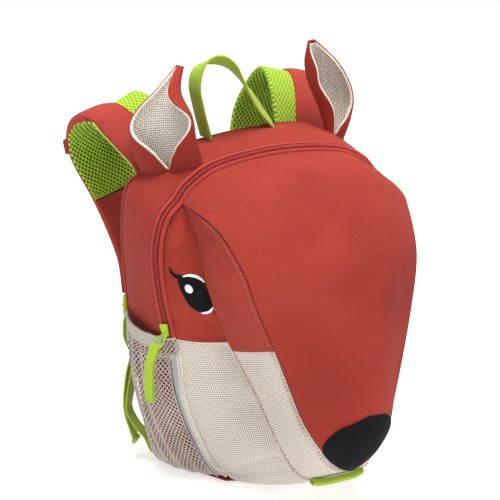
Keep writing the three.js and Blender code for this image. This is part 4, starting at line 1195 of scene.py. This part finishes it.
def buildLock(side, mirror, axes, seat):
    half, inner = lock["width"] / 2, lock["slotWidth"] / 2
    bar, slot = lock["bar"] / 2, lock["bar"] / 2 + lock["slot"]
    xs = [-half, -inner, inner, half]
    ys = [-lock["length"] / 2, -slot, -bar, bar, slot, lock["length"] / 2]
    bpy.ops.object.select_all(action="DESELECT")
    bpy.ops.mesh.primitive_grid_add(x_subdivisions=3, y_subdivisions=5, size=1)
    obj = bpy.context.object
    for v in obj.data.vertices:
        column, row = round((v.co.x + 0.5) * 3), round((v.co.y + 0.5) * 5)
        v.co = (xs[column] * mm, ys[row] * mm, 0)
    startEdit(obj)
    pick(obj, "polygons", lambda f: abs(f.center.x) < inner * mm * 0.5 and bar * mm < abs(f.center.y) < slot * mm)
    bpy.ops.mesh.delete(type="FACE")
    pick(obj, "vertices", lambda v: abs(v.co.y) > (slot + 1) * mm)
    bpy.ops.transform.resize(value=(lock["taper"], 1, 1))
    bpy.ops.object.mode_set(mode="OBJECT")
    wall = obj.modifiers.new("wall", "SOLIDIFY")
    wall.thickness, wall.offset = lock["thick"] * mm, 0
    bpy.ops.object.modifier_apply(modifier="wall")
    startEdit(obj)
    pick(obj, "polygons", lambda f: abs(f.normal.z) > 0.9 and abs(f.center.y) < bar * mm)
    rim, rise = lock["grip"]
    bpy.ops.mesh.inset(thickness=rim * mm, depth=rise * mm)  # raised grip on the middle bar
    stopEdit(obj, lock["round"] * mm, 3)
    if mirror:
        axes, seat = [a * [-1, 1, 1] for a in axes], seat * [-1, 1, 1]
        axes[0] = -axes[0]
    settle(obj, f"ladderLock_{side}", axes, seat, "limePlastic", [f"ladder_lock_{side}"])


# webbing from its rolled end up, through the lock and down to the corner; lock steps are far and high
webbing = {"width": 24, "thick": 1.8, "tail": 2.3,
           "start": [(-100.6, 86, 18), (-102.5, 90, 28), (-104.8, 94, 42.5), (-103.5, 97, 55), (-97, 100, 76),
                     (-88, 103, 98)],
           "stop": [(-86.3, 101.3, 98), (-95.3, 98.3, 76), (-101.8, 95.3, 55), (-103, 92.3, 43), (-96.5, 83, 28),
                    (-84, 71.6, 15)],
           "lie": (0.72, 0.69, 0), "footLie": (0.55, 0.83, -0.1), "endLie": (1.0, 0, 0)}
anchor = {"x": -80, "half": 8, "wider": 5, "y": 69.6, "rise": 3.4, "z": 8, "tall": 20, "thick": 1.6}


def buildAdjuster(side, mirror):
    centre, forward, neck, out, _ = (x[0] for x in strapFrame(side, np.array([1.0])))
    seat = centre + forward * (lock["length"] / 2 + 0.3) - out * strap["pad"] / 2
    buildLock(side, mirror, [neck, forward, out], seat)
    slot = (lock["bar"] + lock["slot"]) / 2
    steps = [(22, 7), (slot + 6, 5.2), (slot, 0), (slot + 6, -5.2), (22, -4.5)]
    path = np.vstack([webbing["start"], [seat + forward * far + out * high for far, high in steps], webbing["stop"]])

    def across(t):
        near = 1 - smooth(0.05, 0.32, np.abs(t - 0.47))
        lie = mixed(np.array(webbing["lie"]), np.array(webbing["footLie"]), smooth(0.22, 0.45, np.abs(t - 0.5)))
        return mixed(mixed(lie, neck, near), np.array(webbing["endLie"]), smooth(0.95, 1, t))
    webbingPiece(f"strapWebbing_{side}", path, webbing["width"], across, webbing["thick"], 240,
                 [f"strap_webbing_{side}"], mirror, 16)
    surface = bandSurface(path, webbing["width"], across)
    p = surface(np.zeros(12), np.linspace(-0.5, 0.5, 12))
    cordPiece(f"webbingTail_{side}", p, webbing["tail"], "lime", 14, mirror=mirror,
              cut=[p[:, 2], p[:, 0], 0 * p[:, 0]])
    width, lift = np.linspace(-0.42, 0.42, 16), webbing["thick"] / 2 + 0.1
    rows = [above(surface, place, width, lift) for place in (0.012, 0.05)]
    stitchPiece(f"tailStitches_{side}", rows, "limeThread", mirror, pitch=2.6, length=2.0)

    def patch(u, v):  # red patch that holds the webbing to the back's lower corner
        rise = anchor["rise"] * smooth(0, 0.6, u) * (1 - np.abs(v) ** 6)
        return np.stack([anchor["x"] + v * (anchor["half"] + anchor["wider"] * u), anchor["y"] + rise,
                         anchor["z"] + anchor["tall"] * u], -1)
    clothPiece(f"webbingAnchor_{side}", patch, spread(0, 1, 26, 0.02), spread(1, -1, 24, 0.02), anchor["thick"],
               "red", rise=anchor["thick"] / 2, mirror=mirror, held=None)


for (strapSide, mirrored), folds in zip(bothSides, (61, 71)):
    buildStrap(strapSide, mirrored, folds)
print("straps, locks and webbing sewn")

# red band that the straps and the handle are sewn under
yoke = {"x": (-106, 104), "y": 69.2, "z": (255, 274), "rise": 8.5, "straps": (-72, 70), "slope": (24, 33),
        "thick": 1.6}


def buildYoke():
    def surface(u, v):
        x = yoke["x"][0] + (yoke["x"][1] - yoke["x"][0]) * u
        over = sum(1 - smooth(*yoke["slope"], np.abs(x - middle)) for middle in yoke["straps"])
        y = yoke["y"] + yoke["rise"] * np.clip(over, 0, 1)
        return np.stack([x, y, yoke["z"][0] + (yoke["z"][1] - yoke["z"][0]) * v], -1)
    clothPiece("strapYoke", surface, spread(1, 0, 140), spread(0, 1, 16, 0.02), yoke["thick"], "red", roll=0.7)
    rows = [above(surface, np.linspace(0.99, 0.01, 150), place, 0.1, -1) for place in (0.15, 0.85)]
    stitchPiece("yokeStitches", rows, "redThread")


buildYoke()

# net side pockets with a gathered hem
pocket = {"mouth": 4.95, "backRise": 0.25, "hem": 0.22, "floor": 8.3, "mouthBulge": 8.0, "bulge": 13.0, "edge": 0.5,
          "tall": 160, "wide": 78, "cutWidth": 75, "holeWide": 4.3, "holeTall": 5.2, "yarn": 0.58, "yarnFlat": 0.8,
          "knot": 0.2, "gathers": 5, "gatherDepth": 2.0, "lap": 0.18, "underHem": 0.065, "backEdge": 0.03}


def rimReach(u):  # how far the net runs on over the rim: to the piping, and to the cheek at its top
    netTop = pocket["mouth"] + pocket["hem"]
    k = loop + netTop + (pocket["floor"] - netTop) * np.clip(u, 0, 1)
    reach = np.maximum(pipingAt(k) - piping["half"], 0.03)
    return reach + (0.97 - reach) * (1 - smooth(0.03, 0.08, u))


def pocketSurface(extra):
    clear = pocket["edge"] + extra

    def surface(u, v):
        lap = np.clip((v - 1) / pocket["lap"], 0, rimReach(u))  # beyond 1 the net lies on the rim
        onRim, v = v > 1, np.minimum(v, 1)
        netTop = pocket["mouth"] - pocket["backRise"] * (1 - v) + pocket["hem"]
        inHem, inside = u < 0, np.clip(u, 0, 1)
        k = loop + netTop + np.where(inHem, pocket["hem"], pocket["floor"] - netTop) * u
        swell = np.where(inHem, 0, np.sin(math.pi * inside ** 0.8))
        arch = np.maximum(0, np.sin(math.pi * np.clip(v, 0, 1))) ** 0.7
        bulge = pocket["mouthBulge"] * (1 - inside ** 5) + (pocket["bulge"] - pocket["mouthBulge"]) * swell
        gather = np.sin(2 * math.pi * (pocket["gathers"] * v + 0.2 * np.sin(5 * v)))
        fade = np.exp(-1.3 * inside) * smooth(0, 0.2, arch) * (0.12 + 0.88 * smooth(0, 0.12, inside))
        onWall = above(wallSurface, k, v, clear + arch * bulge + gather * pocket["gatherDepth"] * fade)[0]
        return np.where(onRim[..., None], above(rimStrip(2.6), k, lap, clear)[0], onWall)
    return surface


def netPoints(surface):  # knots of the net, spaced evenly along each row
    tall, wide, under, first = pocket["tall"], pocket["wide"], pocket["underHem"], pocket["backEdge"]
    rows, columns = int(tall / pocket["holeTall"] * 2), int(wide / pocket["holeWide"])
    r, c = np.meshgrid(np.arange(rows + 1), np.arange(columns + 1), indexing="ij")
    u = np.where(r / rows < under, 0.95 * (r / rows / under - 1), (r / rows - under) / (1.002 - under))
    fine = first + (1 - first + pocket["lap"] * rimReach(u[:, :1])) * np.linspace(0, 1, 200)
    run = walked(surface(np.broadcast_to(u[:, :1], fine.shape), fine), 1)
    share = np.clip((c + 0.5 * (r % 2) - 0.25) / columns, 0, 1)
    v = np.stack([np.interp(share[i] * run[i, -1], run[i], fine[i]) for i in range(rows + 1)])
    return touch(surface, u, v)


def buildPocket(side, mirror):
    p, n = netPoints(pocketSurface(1.0))
    same, off, on = slice(None), slice(0, -1), slice(1, None)
    ends = []
    for row in range(len(p) - 1):  # two yarns from each knot down to the next row
        for a, b in ((same, same), (off, on) if row % 2 else (on, off)):
            ends.append((p[row, a], p[row + 1, b], n[row, a], n[row + 1, b]))
    start, stop, startUp, stopUp = (np.concatenate([e[i] for e in ends]) for i in range(4))
    way = unit(stop - start)
    points = []
    for at, up in ((start - way * pocket["knot"], startUp), (stop + way * pocket["knot"], stopUp)):
        points += ringRound(at, unit(np.cross(way, up)), up, pocket["yarn"], 4, pocket["yarnFlat"])
    net = addPiece(f"netPocket_{side}", np.stack(points, 1).reshape(-1, 3), rodFaces(len(start), 2, 4), "net",
                   [f"mesh_pocket_{side}"], mirror=mirror, angle=100)
    hemAt = lambda u, v: pocketSurface(1.6)(-1 + u * (1.03 - 0.95 * smooth(0.92, 1.02, v)), v)
    clothPiece(f"pocketHem_{side}", hemAt, spread(0, 1, 12, 0.02), spread(pocket["backEdge"], 1.005, 100, 0.004), 1.8,
               "hem", [f"pocket_hem_{side}"], mirror=mirror, roll=0.8, held=None)
    border = np.linspace(-0.98, 0.998, 90), pocket["backEdge"]
    edge = -0.96, np.linspace(0.97, 1 + 0.97 * pocket["lap"], 20)
    for name, (u, v) in (("Border", border), ("Edge", edge)):  # sewn border at the back and front
        p, n = touch(pocketSurface(0.9), u, v)
        cordPiece(f"pocket{name}_{side}", p, 1.1, "hem", up=n, mirror=mirror, cut=[p[:, 2], p[:, 1], 0 * p[:, 0]])


for pocketSide, mirrored in bothSides:
    buildPocket(pocketSide, mirrored)
print("net pockets gathered")

# topstitching along the seams of the front, in mm from the seam
topstitch = {"face": (3.2, 5.6), "cheek": 2.4, "zip": 2.2, "thread": 0.32}


def inShare(k, inside, start, stop):
    return inside / np.maximum(np.linalg.norm(stop(k) - start(k), axis=-1), 1)


def snoutRows(k):
    rows = [above(snoutStrip, k, 1 - inShare(k, inside, seamAt, edgeAt), 0.2) for inside in topstitch["face"]]
    return rows + [above(snoutStrip, k, inShare(k, topstitch["cheek"], seamAt, edgeAt), 0.1)]


def buildSeamStitches():
    border, thread = bag["border"], topstitch["thread"]
    zipSide = np.linspace(0.5, border - 0.05, 200)
    zipRow = above(basePanel, zipSide, inShare(zipSide, topstitch["zip"], frontRimAt, seamAt), 0.1)
    lap = np.linspace(loop + border + 0.3, loop + chin - 1.6, 200)
    lapRow = above(rimStrip(2.9), lap, np.minimum(pipingAt(lap) + 0.55, 1.02), 0.6)
    for side, mirror in bothSides:
        stitchPiece(f"gussetStitches_{side}", snoutRows(np.linspace(0.9, border - 0.04, 220)), "orangeThread", mirror,
                    thread=thread)
        stitchPiece(f"zipSeamStitches_{side}", [zipRow], "redThread", mirror)
        stitchPiece(f"cheekStitches_{side}", [lapRow], "creamThread", mirror)
    stitchPiece("bandStitches", snoutRows(np.linspace(border + 0.05, 2 * chin - border - 0.05, 420)), "brownThread",
                thread=thread)


buildSeamStitches()
print("seams topstitched")
print("cut sizes:", "; ".join(flatSizes))

plain = lambda box: [list(map(float, end)) for end in box]
{"cad": plain(cadBox), "visual": plain(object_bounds())}
